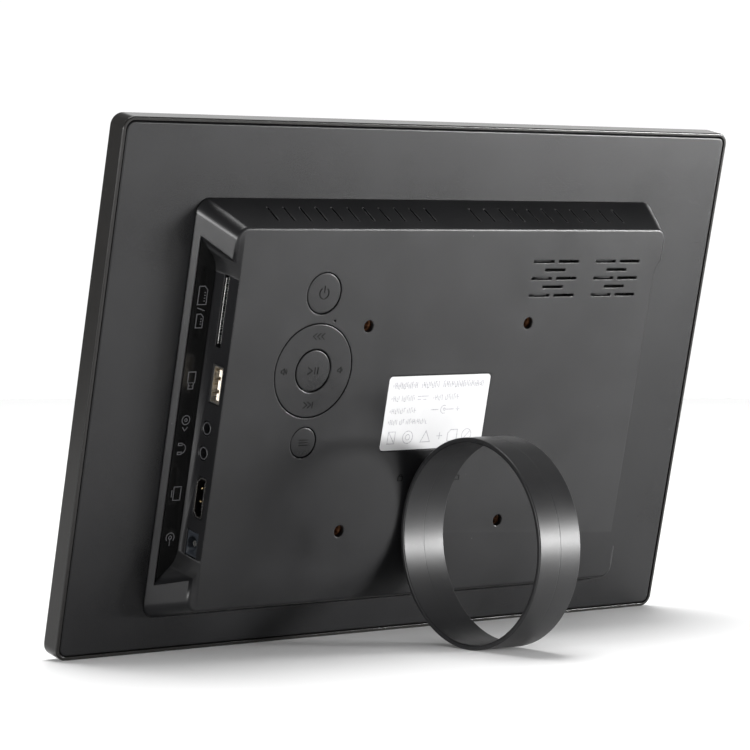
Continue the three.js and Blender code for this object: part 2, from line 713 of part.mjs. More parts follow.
// ---- speakers ----
function buildSpeaker(name, x) {
  const profile = [
    [0, 4.6],
    [5.5, 4.6],
    [5.5, 8],
    [SPEAKER_RADIUS - 2, 10.6],
    [SPEAKER_RADIUS, 10.8],
    [SPEAKER_RADIUS, 12.4],
    [SPEAKER_RADIUS - 1.8, 12.4],
    [5, 9.4],
    [3.5, 10.6],
    [0, 11],
  ].map(([r, y]) => new THREE.Vector2(r, y));
  const geometry = new THREE.LatheGeometry(profile, SPEAKER_STEPS);
  geometry.translate(x, 0, SPEAKER_Z);
  place(name, geometry, satinBlack());
}

// ---- fasteners ----
function buildInserts() {
  const corners = ['upper_left', 'upper_right', 'lower_left', 'lower_right'];
  PATTERN_HOLES.forEach(([x, z], i) => {
    const ring = new THREE.Shape().absarc(x, z, INSERT_RADIUS, 0, Math.PI * 2);
    ring.holes.push(new THREE.Path().absarc(x, z, INSERT_BORE, 0, Math.PI * 2));
    place(`thread_insert_${corners[i]}`, slab(ring, INSERT_FRONT, COVER_INNER_Y - GAP), brass());
  });
}

function screw(x, z, headFront, headRear, headRadius, shankRadius, tip, countersunk) {
  const neck = countersunk ? shankRadius : headRadius;
  const head = rodAlongY(neck, headFront, headRear, x, z, SMALL_CIRCLE, headRadius);
  return carve(head, [rodAlongY(shankRadius, headRear - 0.2, tip, x, z, 12)], []);
}

function buildScrews() {
  SCREW_CORNERS.forEach(([x, z], i) => {
    const body = screw(x, z, -PLATE_THICK + 0.1, -0.5, 2.6, COVER_SHANK, COVER_SCREW_TIP, true);
    place(`cover_screw_${i + 1}`, body, steel());
  });
  BOARD_SCREWS.forEach(([x, z], i) => {
    const headRear = MAIN_BOARD_Y - GAP;
    const body = screw(x, z, headRear - 1.5, headRear, 2.5, COVER_SHANK, BOARD_SCREW_TIP, false);
    place(`board_screw_${i + 1}`, body, steel());
  });
  KEY_SCREWS.forEach(([x, z], i) => {
    const headRear = KEY_BOARD_Y - GAP;
    const body = screw(x, z, headRear - 1.2, headRear, 2, KEY_SHANK, KEY_SCREW_TIP, false);
    place(`key_board_screw_${i + 1}`, body, steel());
  });
}

// ---- ring stand ----
function buildStand() {
  const half = RING_WIDTH / 2;
  const inner = RING_RADIUS - RING_WALL;
  const soft = 0.5;
  const profile = [
    [inner, -half],
    [RING_RADIUS - soft, -half],
    [RING_RADIUS, soft - half],
    [RING_RADIUS, half - soft],
    [RING_RADIUS - soft, half],
    [inner, half],
    [inner, -half],
  ].map(([r, y]) => new THREE.Vector2(r, y));
  const ring = new THREE.LatheGeometry(profile, 90);
  ring.rotateZ(Math.PI / 2);
  ring.translate(0, STAND_Y, STAND_Z);
  const shaft = rodAlongY(STAND_SHAFT, STAND_SEAT_Y, COVER_DEPTH + GAP + 1.2, 0, STAND_Z, CIRCLE);
  const thread = rodAlongY(STAND_BORE, STAND_SEAT_Y - 1, COVER_DEPTH - 0.1, 0, STAND_Z);
  place('ring_stand', carve(ring, [shaft], [thread]), satinBlack());

  const discRear = STAND_SEAT_Y - GAP;
  const discFront = discRear - STAND_DISC_THICK;
  const disc = rodAlongY(STAND_DISC, discFront, discRear, 0, STAND_Z, CIRCLE);
  const discHole = rodAlongY(STAND_BORE, discFront - 1, discRear + 1, 0, STAND_Z);
  place('stand_retainer', carve(disc, [], [discHole]), steel());
  const headRear = discFront - GAP;
  const body = screw(0, STAND_Z, headRear - 1.9, headRear, 3.6, STAND_SHANK, COVER_DEPTH - 0.5, false);
  place('stand_screw', body, steel());
}

// ---- flat cable from the screen to the main board ----
function buildCable() {
  const thick = 0.25;
  const low = -PLATE_THICK + 0.2;
  const high = MAIN_BOARD_Y - GAP;
  const shape = new THREE.Shape();
  shape.moveTo(low, -8);
  shape.lineTo(low, -22);
  shape.lineTo(high - thick, -30);
  shape.lineTo(high - thick, -40);
  shape.lineTo(high, -40);
  shape.lineTo(high, -30 + 0.4);
  shape.lineTo(low + thick, -22 + 0.4);
  shape.lineTo(low + thick, -8);
  shape.closePath();
  place('display_cable', bar(shape, 30, 52), finish(0x9a6a2c, 0.5, 0));
}

buildBezel();
buildScreen();
buildBackPlate();
buildCover();
buildLabels();
buildBoards();
buildCardSocket();
buildUsb();
buildJacks();
buildHd();
buildDcJack();
buildKeys();
buildSwitches();
buildSpeaker('speaker_inner', SPEAKER_X[0]);
buildSpeaker('speaker_outer', SPEAKER_X[1]);
buildInserts();
buildScrews();
buildStand();
buildCable();

// lean the frame back and set its lowest points on the floor, centred on the bounding box
plate.rotation.x = -LEAN;
const group = new THREE.Group();
group.add(plate);
const bounds = new THREE.Box3().setFromObject(group, true);
plate.position.set(0, -(bounds.min.y + bounds.max.y) / 2, -bounds.min.z);

export default group;
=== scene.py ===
"""Finished look of a digital photo frame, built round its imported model.

Laid out as an add-on and run as a script. New pieces are worked out in plate millimetres:
x across the width with the sockets at +x, y from the screen to the rear with 0 at the rear
of the flat plate, z up the plate with 0 at its middle. lean() puts them in the model's metres.
"""
import json
import math

import bmesh
import bpy
import numpy as np
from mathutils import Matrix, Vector


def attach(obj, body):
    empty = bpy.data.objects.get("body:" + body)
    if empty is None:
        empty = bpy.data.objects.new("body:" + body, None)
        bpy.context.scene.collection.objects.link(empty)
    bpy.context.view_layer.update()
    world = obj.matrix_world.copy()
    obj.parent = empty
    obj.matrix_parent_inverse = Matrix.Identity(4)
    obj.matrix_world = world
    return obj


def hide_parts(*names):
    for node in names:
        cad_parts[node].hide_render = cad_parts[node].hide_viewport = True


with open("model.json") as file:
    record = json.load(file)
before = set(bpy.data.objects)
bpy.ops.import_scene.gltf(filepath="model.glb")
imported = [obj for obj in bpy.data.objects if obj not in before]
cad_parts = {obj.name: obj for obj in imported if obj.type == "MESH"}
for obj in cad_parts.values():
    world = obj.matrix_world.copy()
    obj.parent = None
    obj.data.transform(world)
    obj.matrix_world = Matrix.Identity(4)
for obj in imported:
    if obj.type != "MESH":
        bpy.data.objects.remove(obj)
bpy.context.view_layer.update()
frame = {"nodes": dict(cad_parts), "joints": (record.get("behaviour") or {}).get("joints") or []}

bl_info = {
    "name": "Digital Photo Frame",
    "version": (1, 0, 0),
    "blender": (4, 5, 0),
    "location": "View3D > Sidebar > Photo Frame",
    "description": "Builds a digital photo frame on a round stand, piece by piece",
    "category": "Object",
}

# ---- where the leaning plate is: from the stand's turning axis ----
STAND_JOINT = next(j for j in frame["joints"] if j["name"] == "stand_twist")
ACROSS = np.array([1.0, 0.0, 0.0])
REARWARD = np.array(STAND_JOINT["axis"]) / np.linalg.norm(STAND_JOINT["axis"])
UPWARD = np.cross(ACROSS, REARWARD)
LEAN = math.atan2(-REARWARD[2], REARWARD[1])
STAND_FOOT = (0.0, 16.8, -44.0)
ORIGIN = np.array(STAND_JOINT["pos_m"]) - (STAND_FOOT[1] * REARWARD + STAND_FOOT[2] * UPWARD) / 1000

# ---- sizes in plate millimetres ----
FRAME_HALF = (141.0, 95.0)
FRAME_DEPTH = 8.6
FRAME_CORNER = 4.5
RIM_WALL = 1.3
WINDOW_HALF = (111.35, 62.65)
PLATE_HALF = (139.4, 93.4)
PLATE_THICK = 1.9
PLATE_OPENING = (-70.0, 88.0, -66.0, 46.0)
FACE_Y = 16.5
KEYS_X = 59.5
POWER_Z, NAV_Z, MENU_Z = 38.0, 10.3, -15.6
LABEL_BOX = (-23.15, 24.35, -20.05, 7.25)
LABEL_REAR_Y = 16.65
STRIP_REAR_Y = 2.9
STRIP_MARK_X = 101.3
HOLE_PATTERN = ((37.5, 25.9), (-37.5, 25.9), (37.5, -49.1), (-37.5, -49.1))
SPEAKERS = {"speaker_inner": -46.8, "speaker_outer": -77.5}
SPEAKER_Z = 42.6
RING_RADIUS, RING_WALL, RING_HALF = 37.5, 1.8, 9.5
RING_Y, RING_Z = 54.3, -44.0


# ---- surfaces ----
def lean(points):
    """Plate millimetres to metres in the model's frame: origin + x across + y rearward + z upward."""
    points = np.asarray(points, float).reshape(-1, 3) / 1000
    return ORIGIN + points[:, :1] * ACROSS + points[:, 1:2] * REARWARD + points[:, 2:] * UPWARD


def grid_faces(rows, columns, wrap_rows, wrap_columns):
    """Four-cornered faces over a grid of points. A wrapped direction joins its last line to its first."""
    r, c = np.meshgrid(
        np.arange(rows if wrap_rows else rows - 1),
        np.arange(columns if wrap_columns else columns - 1),
        indexing="ij",
    )
    below, beside = (r + 1) % rows, (c + 1) % columns
    corners = [r * columns + c, r * columns + beside, below * columns + beside, below * columns + c]
    return np.stack(corners, -1).reshape(-1, 4).tolist()


def skin(grid, wrap_rows=False, wrap_columns=True, caps=True):
    """A shape from a (rows, columns, 3) grid of points; the first and last rows are closed by a face each."""
    rows, columns = grid.shape[:2]
    faces = grid_faces(rows, columns, wrap_rows, wrap_columns)
    if caps and not wrap_rows:
        faces += [list(range(columns)), list(range((rows - 1) * columns, rows * columns))]
    return grid.reshape(-1, 3), faces


def together(*shapes):
    """Several shapes as one: points after points, with the faces counted on."""
    points, faces, start = [], [], 0
    for shape_points, shape_faces in shapes:
        points.append(shape_points)
        faces += [[start + i for i in face] for face in shape_faces]
        start += len(shape_points)
    return np.concatenate(points), faces


def turned_corners(corners, steps=6):
    """A closed outline through corners (a, b, radius): each corner is an arc, tangent to both sides.

    With half the corner's opening h, the arc starts radius / tan(h) from the corner, and its centre
    lies radius / sin(h) away on the bisector.
    """
    table = np.asarray(corners, float)
    point, radius = table[:, :2], table[:, 2:3]
    back = np.roll(point, 1, 0) - point
    ahead = np.roll(point, -1, 0) - point
    back /= np.linalg.norm(back, axis=1, keepdims=True)
    ahead /= np.linalg.norm(ahead, axis=1, keepdims=True)
    half = np.arccos(np.clip((back * ahead).sum(1, keepdims=True), -1, 1)) / 2
    middle = (back + ahead) / np.linalg.norm(back + ahead, axis=1, keepdims=True)
    centre = point + middle * radius / np.sin(half)
    first = point + back * radius / np.tan(half) - centre
    last = point + ahead * radius / np.tan(half) - centre
    sweep = np.pi - 2 * half
    t = np.linspace(0, 1, steps)[None, :, None]
    weight = np.sin(sweep)[:, None]
    leaving, arriving = np.sin((1 - t) * sweep[:, None]), np.sin(t * sweep[:, None])
    arc = (leaving * first[:, None] + arriving * last[:, None]) / weight
    return (centre[:, None] + arc).reshape(-1, 2)


def rect_rings(low_x, high_x, low_z, high_z, corner, y, steps=10):
    """One rounded rectangle per entry of the arrays: four quarter circles of the radius at height y."""
    low_x, high_x, low_z, high_z, corner, y = np.broadcast_arrays(low_x, high_x, low_z, high_z, corner, y)
    angle = np.linspace(0, np.pi / 2, steps)[None, :]
    parts = []
    for centre_x, centre_z, start in (
        (high_x - corner, low_z + corner, -np.pi / 2),
        (high_x - corner, high_z - corner, 0.0),
        (low_x + corner, high_z - corner, np.pi / 2),
        (low_x + corner, low_z + corner, np.pi),
    ):
        x = centre_x[:, None] + corner[:, None] * np.cos(angle + start)
        z = centre_z[:, None] + corner[:, None] * np.sin(angle + start)
        parts.append(np.stack([x, np.broadcast_to(y[:, None], x.shape), z], -1))
    return np.concatenate(parts, 1)


def spun(profile, centre, axis="y", steps=96, closed=False):
    """A profile of (radius, height) carried round an axis: radius times cosine and sine of the angle."""
    radius, height = np.asarray(profile, float).T
    angle = np.linspace(0, 2 * np.pi, steps, endpoint=False)
    one = radius[:, None] * np.cos(angle)
    two = radius[:, None] * np.sin(angle)
    along = np.broadcast_to(height[:, None], one.shape)
    order = {"y": (one, along, two), "x": (along, one, two)}[axis]
    return skin(np.stack(order, -1) + np.asarray(centre, float), wrap_rows=closed, caps=False)


def ribbon(line, width, low, high, closed=False):
    """A strip along a line in x and z: the line moved half the width to each side, low to high in y."""
    line = np.asarray(line, float)
    ahead = np.roll(line, -1, 0) - line
    behind = line - np.roll(line, 1, 0)
    if not closed:
        ahead[-1], behind[0] = behind[-1], ahead[0]
    ahead /= np.linalg.norm(ahead, axis=1, keepdims=True)
    behind /= np.linalg.norm(behind, axis=1, keepdims=True)
    tangent = ahead + behind
    tangent /= np.linalg.norm(tangent, axis=1, keepdims=True)
    stretch = 1 / np.clip((tangent * ahead).sum(1, keepdims=True), 0.5, 1)
    side = np.stack([-tangent[:, 1], tangent[:, 0]], -1) * stretch * width / 2
    left, right = line + side, line - side
    corners = [(left, low), (left, high), (right, high), (right, low)]
    grid = np.stack([np.stack([p[:, 0], np.full(len(p), y), p[:, 1]], -1) for p, y in corners], 1)
    return skin(grid, wrap_rows=closed)


def arc_line(centre, radius, start, end, steps=24):
    """Points on a circle from one angle to another, in degrees."""
    angle = np.radians(np.linspace(start, end, steps))
    return np.stack([centre[0] + radius * np.cos(angle), centre[1] + radius * np.sin(angle)], -1)


def bar_block(low, high, edge=0.15):
    """A bar between two corners, its long edges along y turned by a small radius."""
    (x0, y0, z0), (x1, y1, z1) = low, high
    inset = np.array([edge, 0, 0, edge])
    y = np.array([y0, y0 + edge, y1 - edge, y1])
    return skin(rect_rings(x0 + inset, x1 - inset, z0 + inset, z1 - inset, edge, y, steps=4))


# ---- putting a piece together ----
def piece(name, shapes, materials, body, replaced=(), smooth=40):
    """Makes a piece from (shape, material number) pairs, with closed seams and outward faces."""
    mesh = bpy.data.meshes.new(name)
    points, faces = together(*[shape for shape, _ in shapes])
    mesh.from_pydata(lean(points), [], faces)
    numbers = np.concatenate([np.full(len(shape[1]), number) for shape, number in shapes])
    mesh.polygons.foreach_set("material_index", numbers.astype(np.int32))
    work = bmesh.new()
    work.from_mesh(mesh)
    bmesh.ops.remove_doubles(work, verts=work.verts, dist=1e-7)
    bmesh.ops.dissolve_degenerate(work, edges=work.edges, dist=1e-8)
    bmesh.ops.recalc_face_normals(work, faces=work.faces)
    work.to_mesh(mesh)
    work.free()
    return settle(name, mesh, materials, body, replaced, smooth)


def settle(name, mesh, materials, body, replaced, smooth):
    """Gives a mesh its materials, soft and sharp edges and body, and hides the nodes that it stands for."""
    for material in materials:
        mesh.materials.append(material)
    mesh.polygons.foreach_set("use_smooth", np.ones(len(mesh.polygons), bool))
    mesh.set_sharp_from_angle(angle=math.radians(smooth))
    thing = bpy.data.objects.new(name, mesh)
    bpy.context.scene.collection.objects.link(thing)
    weighted = thing.modifiers.new("even_shading", "WEIGHTED_NORMAL")
    weighted.keep_sharp = True
    weighted.mode = "FACE_AREA"
    weighted.weight = 100
    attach(thing, body)
    if replaced:
        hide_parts(*replaced)
    return thing


def merged_copy(node, name, material, smooth=30, body="case"):
    """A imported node's shape with its loose triangles joined, so that its rounded edges shade smoothly."""
    mesh = bpy.data.meshes.new(name)
    work = bmesh.new()
    work.from_mesh(frame["nodes"][node].data)
    bmesh.ops.remove_doubles(work, verts=work.verts, dist=2e-6)
    bmesh.ops.dissolve_degenerate(work, edges=work.edges, dist=1e-7)
    bmesh.ops.dissolve_limit(work, angle_limit=math.radians(0.2), verts=work.verts, edges=work.edges)
    for face in work.faces:
        face.material_index = 0
    work.to_mesh(mesh)
    work.free()
    return settle(name, mesh, [material], body, [node], smooth)


def dress(node, material):
    """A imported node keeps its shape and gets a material."""
    slots = frame["nodes"][node].data.materials
    slots.clear()
    slots.append(material)


# ---- materials ----
class Wire:
    """A number that changes over a surface: an output socket, whose arithmetic adds Math nodes."""

    def __init__(self, recipe, socket):
        self.recipe = recipe
        self.socket = socket

    def math(self, operation, *values):
        return self.recipe.node("ShaderNodeMath", {"operation": operation}, dict(enumerate(values)))

    def __add__(self, other):
        return self.math("ADD", self, other)

    __radd__ = __add__

    def __sub__(self, other):
        return self.math("SUBTRACT", self, other)

    def __rsub__(self, other):
        return self.math("SUBTRACT", other, self)

    def __mul__(self, other):
        return self.math("MULTIPLY", self, other)

    __rmul__ = __mul__

    def __truediv__(self, other):
        return self.math("DIVIDE", self, other)

    def between(self, low, high):
        """0 at low, 1 at high, smooth on the way."""
        settings = {"interpolation_type": "SMOOTHSTEP"}
        ends = {"Value": self, "From Min": low, "From Max": high}
        return self.recipe.node("ShaderNodeMapRange", settings, ends)


class Recipe:
    """One procedural material, or another node tree: nodes are added by kind, with their settings first."""

    def __init__(self, name, tree=None):
        self.tree = tree
        if tree is None:
            self.material = bpy.data.materials.new(name)
            self.material.use_nodes = True
            self.tree = self.material.node_tree
            self.tree.nodes.clear()

    def node(self, kind, settings=(), inputs=(), output=0):
        """Adds a node: its settings, then a value or a link for each input."""
        made = self.tree.nodes.new(kind)
        for name, value in dict(settings).items():
            setattr(made, name, value)
        for name, value in dict(inputs).items():
            if isinstance(value, Wire):
                self.tree.links.new(value.socket, made.inputs[name])
            else:
                made.inputs[name].default_value = value
        return Wire(self, made.outputs[output]) if len(made.outputs) else None

    def plate_mm(self, stretch=(1.0, 1.0, 1.0)):
        """Where a point lies in plate millimetres, each axis divided by its stretch."""
        place = self.node("ShaderNodeTexCoord", output=3)
        scale = [0.001 * s for s in stretch]
        inputs = {"Vector": place, "Location": ORIGIN.tolist(), "Rotation": (-LEAN, 0, 0), "Scale": scale}
        return self.node("ShaderNodeMapping", {"vector_type": "TEXTURE"}, inputs)

    def axes(self, place):
        """The three numbers of a place."""
        parts = self.node("ShaderNodeSeparateXYZ", inputs={0: place})
        return [Wire(self, parts.socket.node.outputs[i]) for i in range(3)]

    def noise(self, place, size, detail=2.0):
        """Soft random pattern with features about size long."""
        return self.node("ShaderNodeTexNoise", inputs={"Vector": place, "Scale": 1 / size, "Detail": detail})

    def specks(self, place, spacing, size):
        """Small round specks of the given size, one in some of the cells of that spacing."""
        cells = {"Vector": place, "Scale": 1 / spacing}
        near = self.node("ShaderNodeTexVoronoi", {"feature": "F1"}, cells)
        some = self.noise(place, spacing * 3, 0.0).between(0.6, 0.7)
        return (1 - near.between(0.5 * size / spacing, size / spacing)) * some

    def blend(self, share, first, second):
        """The first colour where share is 0, the second where it is 1."""
        inputs = {0: share, 6: first, 7: second}
        return self.node("ShaderNodeMix", {"data_type": "RGBA"}, inputs, output=2)

    def bump(self, height, depth, strength=1.0, soft_edge=0.0):
        """A normal from a height of 0 to 1 that is depth millimetres deep, on edges softened by a radius."""
        inputs = {"Height": height, "Distance": depth / 1000, "Strength": strength}
        if soft_edge:
            inputs["Normal"] = self.node("ShaderNodeBevel", {"samples": 4}, {"Radius": soft_edge / 1000})
        return self.node("ShaderNodeBump", inputs=inputs)

    def surface(self, **inputs):
        """Ends the recipe in one glossy surface. Names of sockets are written with underscores."""
        named = {name.replace("_", " "): value for name, value in inputs.items()}
        shader = self.node("ShaderNodeBsdfPrincipled", inputs=named)
        self.node("ShaderNodeOutputMaterial", inputs={"Surface": shader})
        return self.material


def opaque(colour, share=1.0):
    """A colour with its brightness changed, as four numbers."""
    return [min(1.0, channel * share) for channel in colour[:3]] + [1.0]


def once(maker):
    """A material is made the first time that it is asked for, and shared after that."""
    made = {}

    def ask():
        if maker.__name__ not in made:
            made[maker.__name__] = maker()
        return made[maker.__name__]

    return ask


def satin(name, colour, roughness, grain, depth, soft_edge=0.0, level=0.5, swirl=20.0):
    """Moulded plastic: a fine spark grain, clouds of slightly different gloss, and a few specks of dust."""
    recipe = Recipe(name)
    place = recipe.plate_mm()
    cloud = recipe.noise(place, swirl, 3.0)
    fine = recipe.noise(place, grain, 3.0)
    dust = recipe.specks(place, 6.0, 0.25)
    base = recipe.blend(cloud.between(0.3, 0.7), opaque(colour, 0.86), opaque(colour, 1.14))
    base = recipe.blend(dust * 0.22, base, (0.3, 0.3, 0.31, 1.0))
    rough = roughness + (cloud - 0.5) * 0.08 + (fine - 0.5) * 0.1 + dust * 0.2
    normal = recipe.bump(fine, depth, soft_edge=soft_edge)
    return recipe.surface(Base_Color=base, Roughness=rough, Normal=normal, Specular_IOR_Level=level)


def gloss(name, colour, roughness, level=0.5):
    """Polished plastic: a slow waviness, hairline marks along the width, and a little dust."""
    recipe = Recipe(name)
    place = recipe.plate_mm()
    wave = recipe.noise(place, 14.0, 1.0)
    hair = recipe.noise(recipe.plate_mm((30.0, 1.0, 0.4)), 1.0, 2.0).between(0.62, 0.75)
    dust = recipe.specks(place, 5.0, 0.2)
    base = recipe.blend(dust * 0.35, opaque(colour), (0.25, 0.25, 0.26, 1.0))
    rough = roughness + (wave - 0.5) * 0.04 + hair * 0.02 + dust * 0.3
    normal = recipe.bump(wave, 0.01)
    return recipe.surface(Base_Color=base, Roughness=rough, Normal=normal, Specular_IOR_Level=level)


def metal(name, colour, roughness, stretch, shade=0.8):
    """Plated or turned metal: fine tool lines along one direction and a slow change of tone."""
    recipe = Recipe(name)
    lines = recipe.noise(recipe.plate_mm(stretch), 0.12, 2.0)
    tone = recipe.noise(recipe.plate_mm(), 3.0, 2.0)
    base = recipe.blend(tone.between(0.3, 0.7), opaque(colour, shade), opaque(colour))
    rough = roughness + (lines - 0.5) * 0.25
    normal = recipe.bump(lines, 0.01)
    return recipe.surface(Base_Color=base, Roughness=rough, Metallic=1.0, Normal=normal)


def looks():
    return bpy.context.scene.photo_frame_looks


@once
def case_satin():
    return satin("case_satin", looks().case_colour, 0.31, 0.35, 0.006, soft_edge=0.6, level=0.24)


@once
def plate_satin():
    return satin("plate_satin", looks().case_colour, 0.29, 0.35, 0.006, swirl=45.0, level=0.24)


@once
def rim_gloss():
    return gloss("rim_gloss", looks().surround_colour, 0.18, level=0.26)


@once
def key_satin():
    return satin("key_satin", looks().case_colour, 0.3, 0.3, 0.005, swirl=12.0, level=0.24)


@once
def relief_satin():
    return satin("relief_satin", looks().relief_colour, 0.35, 0.2, 0.002, swirl=4.0, level=0.06)


@once
def stand_satin():
    return satin("stand_satin", looks().stand_colour, 0.4, 0.5, 0.003, swirl=18.0, level=0.3)


@once
def strip_gloss():
    return gloss("strip_gloss", looks().strip_colour, 0.22, level=0.25)


@once
def socket_plastic():
    return satin("socket_plastic", looks().socket_colour, 0.4, 0.2, 0.004, swirl=5.0)


@once
def inner_plastic():
    return satin("inner_plastic", (0.02, 0.02, 0.022), 0.5, 0.4, 0.01, swirl=8.0)


@once
def plated_steel():
    return metal("plated_steel", looks().steel_colour, 0.26, (14.0, 1.0, 1.0))


@once
def dark_plating():
    return metal("dark_plating", (0.05, 0.045, 0.04), 0.35, (14.0, 1.0, 1.0))


@once
def power_plastic():
    return satin("power_plastic", (0.011, 0.013, 0.0165), 0.4, 0.2, 0.004, swirl=5.0)


@once
def gold_contact():
    return metal("gold_contact", (0.95, 0.72, 0.38), 0.22, (8.0, 1.0, 1.0))


@once
def turned_brass():
    return metal("turned_brass", looks().brass_colour, 0.3, (1.0, 9.0, 1.0), shade=0.6)


@once
def pale_moulding():
    return satin("pale_moulding", (0.86, 0.78, 0.66), 0.45, 0.3, 0.004, swirl=3.0)


@once
def screen_glass():
    """Dark display glass: a low shine, with a fine regular grain of cells below it."""
    recipe = Recipe("screen_glass")
    x, _, z = recipe.axes(recipe.plate_mm())
    cell = (x / 0.22).math("FRACT", x / 0.22) * (z / 0.22).math("FRACT", z / 0.22)
    wave = recipe.noise(recipe.plate_mm(), 30.0, 1.0)
    base = recipe.blend(cell.between(0.2, 0.8), (0.004, 0.0045, 0.006, 1.0), (0.008, 0.0085, 0.011, 1.0))
    rough = 0.11 + (wave - 0.5) * 0.04
    normal = recipe.bump(wave, 0.01)
    return recipe.surface(Base_Color=base, Roughness=rough, Normal=normal, Specular_IOR_Level=0.5)


@once
def label_paper():
    """White label film: a faint fibre, softly uneven gloss, and slightly greyed patches."""
    recipe = Recipe("label_paper")
    place = recipe.plate_mm()
    fibre = recipe.noise(recipe.plate_mm((3.0, 1.0, 1.0)), 0.3, 4.0)
    patch = recipe.noise(place, 12.0, 2.0)
    colour = looks().label_colour
    base = recipe.blend(patch.between(0.35, 0.65), opaque(colour, 0.94), opaque(colour))
    rough = 0.45 + (fibre - 0.5) * 0.12
    return recipe.surface(Base_Color=base, Roughness=rough, Normal=recipe.bump(fibre, 0.006))


@once
def label_ink():
    """Printed grey: ink that lies unevenly on its film."""
    recipe = Recipe("label_ink")
    spread = recipe.noise(recipe.plate_mm(), 0.5, 3.0)
    base = recipe.blend(spread.between(0.3, 0.7), (0.2, 0.2, 0.21, 1.0), (0.33, 0.33, 0.34, 1.0))
    return recipe.surface(Base_Color=base, Roughness=0.5 + (spread - 0.5) * 0.2)


@once
def pale_ink():
    """Pale grey marks printed on a black strip."""
    recipe = Recipe("pale_ink")
    spread = recipe.noise(recipe.plate_mm(), 0.4, 3.0)
    colour = looks().mark_colour
    base = recipe.blend(spread.between(0.3, 0.7), opaque(colour, 0.7), opaque(colour))
    return recipe.surface(Base_Color=base, Roughness=0.45 + (spread - 0.5) * 0.2)


@once
def board_mask():
    """Green board varnish over copper tracks: stripes along x, crossed by stripes along z, in patches."""
    recipe = Recipe("board_mask")
    x, _, z = recipe.axes(recipe.plate_mm())
    patch = recipe.noise(recipe.plate_mm(), 9.0, 1.0).between(0.48, 0.52)
    along = (x / 1.3).math("PINGPONG", x / 1.3, 0.5)
    across = (z / 1.3).math("PINGPONG", z / 1.3, 0.5)
    track = (along * patch + across * (1 - patch)).between(0.2, 0.26)
    base = recipe.blend(track, (0.008, 0.06, 0.022, 1.0), (0.02, 0.13, 0.045, 1.0))
    return recipe.surface(Base_Color=base, Roughness=0.35 + track * 0.1, Normal=recipe.bump(track, 0.03))


@once
def amber_film():
    """Amber flat cable: copper lines a millimetre apart under a clear film."""
    recipe = Recipe("amber_film")
    x, _, _ = recipe.axes(recipe.plate_mm())
    line = (x / 1.0).math("PINGPONG", x, 0.5).between(0.2, 0.3)
    base = recipe.blend(line, (0.35, 0.17, 0.03, 1.0), (0.6, 0.32, 0.1, 1.0))
    return recipe.surface(Base_Color=base, Roughness=0.3 + line * 0.1, Normal=recipe.bump(line, 0.02))


@once
def pressed_tray():
    """Pressed tray behind the display: rolled grain and a slow change of tone."""
    return metal("pressed_tray", (0.5, 0.51, 0.52), 0.4, (25.0, 1.0, 1.0), shade=0.85)


@once
def paper_cone():
    """Speaker cone: matt black paper with fibres."""
    return satin("paper_cone", (0.02, 0.02, 0.021), 0.75, 0.25, 0.02, swirl=3.0)


@once
def studio_floor():
    """Pale floor with a barely visible change of tone."""
    recipe = Recipe("studio_floor")
    drift = recipe.noise(recipe.node("ShaderNodeTexCoord", output=3), 0.6, 2.0)
    base = recipe.blend(drift, opaque(looks().floor_colour, 0.985), opaque(looks().floor_colour))
    return recipe.surface(Base_Color=base, Roughness=0.6 + drift * 0.05)


# ---- marks: strokes in seen millimetres, s to the right and t up ----
def power_mark(size):
    return [(arc_line((0, 0), size, 125, 415), False), ([(0, 0.1 * size), (0, 1.35 * size)], False)]


def arrow_mark(s, height, reach):
    """An open arrow head whose point is at s + reach."""
    return ([(s, height), (s + reach, 0), (s, -height)], False)


def tick_mark(s, height):
    return ([(s, -height), (s, height)], False)


def round_mark(radius, centre=(0, 0)):
    return (arc_line(centre, radius, 0, 360, 29)[:-1], True)


def frame_mark(width, height, cut=0.0, centre=(0, 0)):
    """A rectangle outline with one corner cut off."""
    w, h = width / 2, height / 2
    line = [(-w, -h), (w, -h), (w, h), (-w + cut, h)] + ([(-w, h - cut)] if cut else [])
    return (np.array(line) + np.array(centre), True)


def waves_mark(s, side, count):
    """A small horn with sound waves on one side."""
    horn = ([(s, 0.45), (s + 0.55 * side, 0.45), (s + 1.25 * side, 1.1), (s + 1.25 * side, -1.1),
             (s + 0.55 * side, -0.45), (s, -0.45)], True)
    middle = 0 if side > 0 else 180
    wave = [
        (arc_line((s + 1.1 * side, 0), 0.75 + 0.6 * i, middle - 42, middle + 42, 9), False)
        for i in range(count)
    ]
    return [horn, *wave]


def strokes(marks, width, low, high, put):
    """The marks as one shape: put turns seen millimetres into plate x and z."""
    return together(*[
        ribbon(put(np.asarray(line, float)), width, low, high, closed) for line, closed in marks
    ])


def seen_from_rear(x, z):
    """Seen millimetres round a point on a face that looks rearward, where the right is -x."""
    return lambda line: np.stack([x - line[:, 0], z + line[:, 1]], -1)


def along_strip(z):
    """Seen millimetres on the port strip, where marks read downward with their tops to the sockets."""
    return lambda line: np.stack([STRIP_MARK_X - line[:, 1], z - line[:, 0]], -1)


def text_like(left, right, middle, height, pitch, gaps):
    """A row of upright ticks with gaps between groups, which reads as a line of print and has no letters."""
    places = np.arange(left, right, pitch)
    kept = [s for i, s in enumerate(places) if i not in gaps]
    rows = []
    for i, s in enumerate(kept):
        top = middle + height / 2 * (1 if i % 3 else 0.4)
        low = middle - height / 2 * (1 if i % 4 else 0.5)
        rows.append(([(s, low), (s, top)], False))
        if i % 5 in (1, 3):
            level = (low, middle, top)[i % 3]
            rows.append(([(s, level), (s + pitch * 0.8, level)], False))
    return rows


# ---- settings ----
def colour_property(name, description, default):
    return bpy.props.FloatVectorProperty(
        name=name, description=description, default=default, size=3, min=0, max=1, subtype="COLOR")


def millimetres(name, description, default):
    return bpy.props.FloatProperty(name=name, description=description, default=default, min=0)


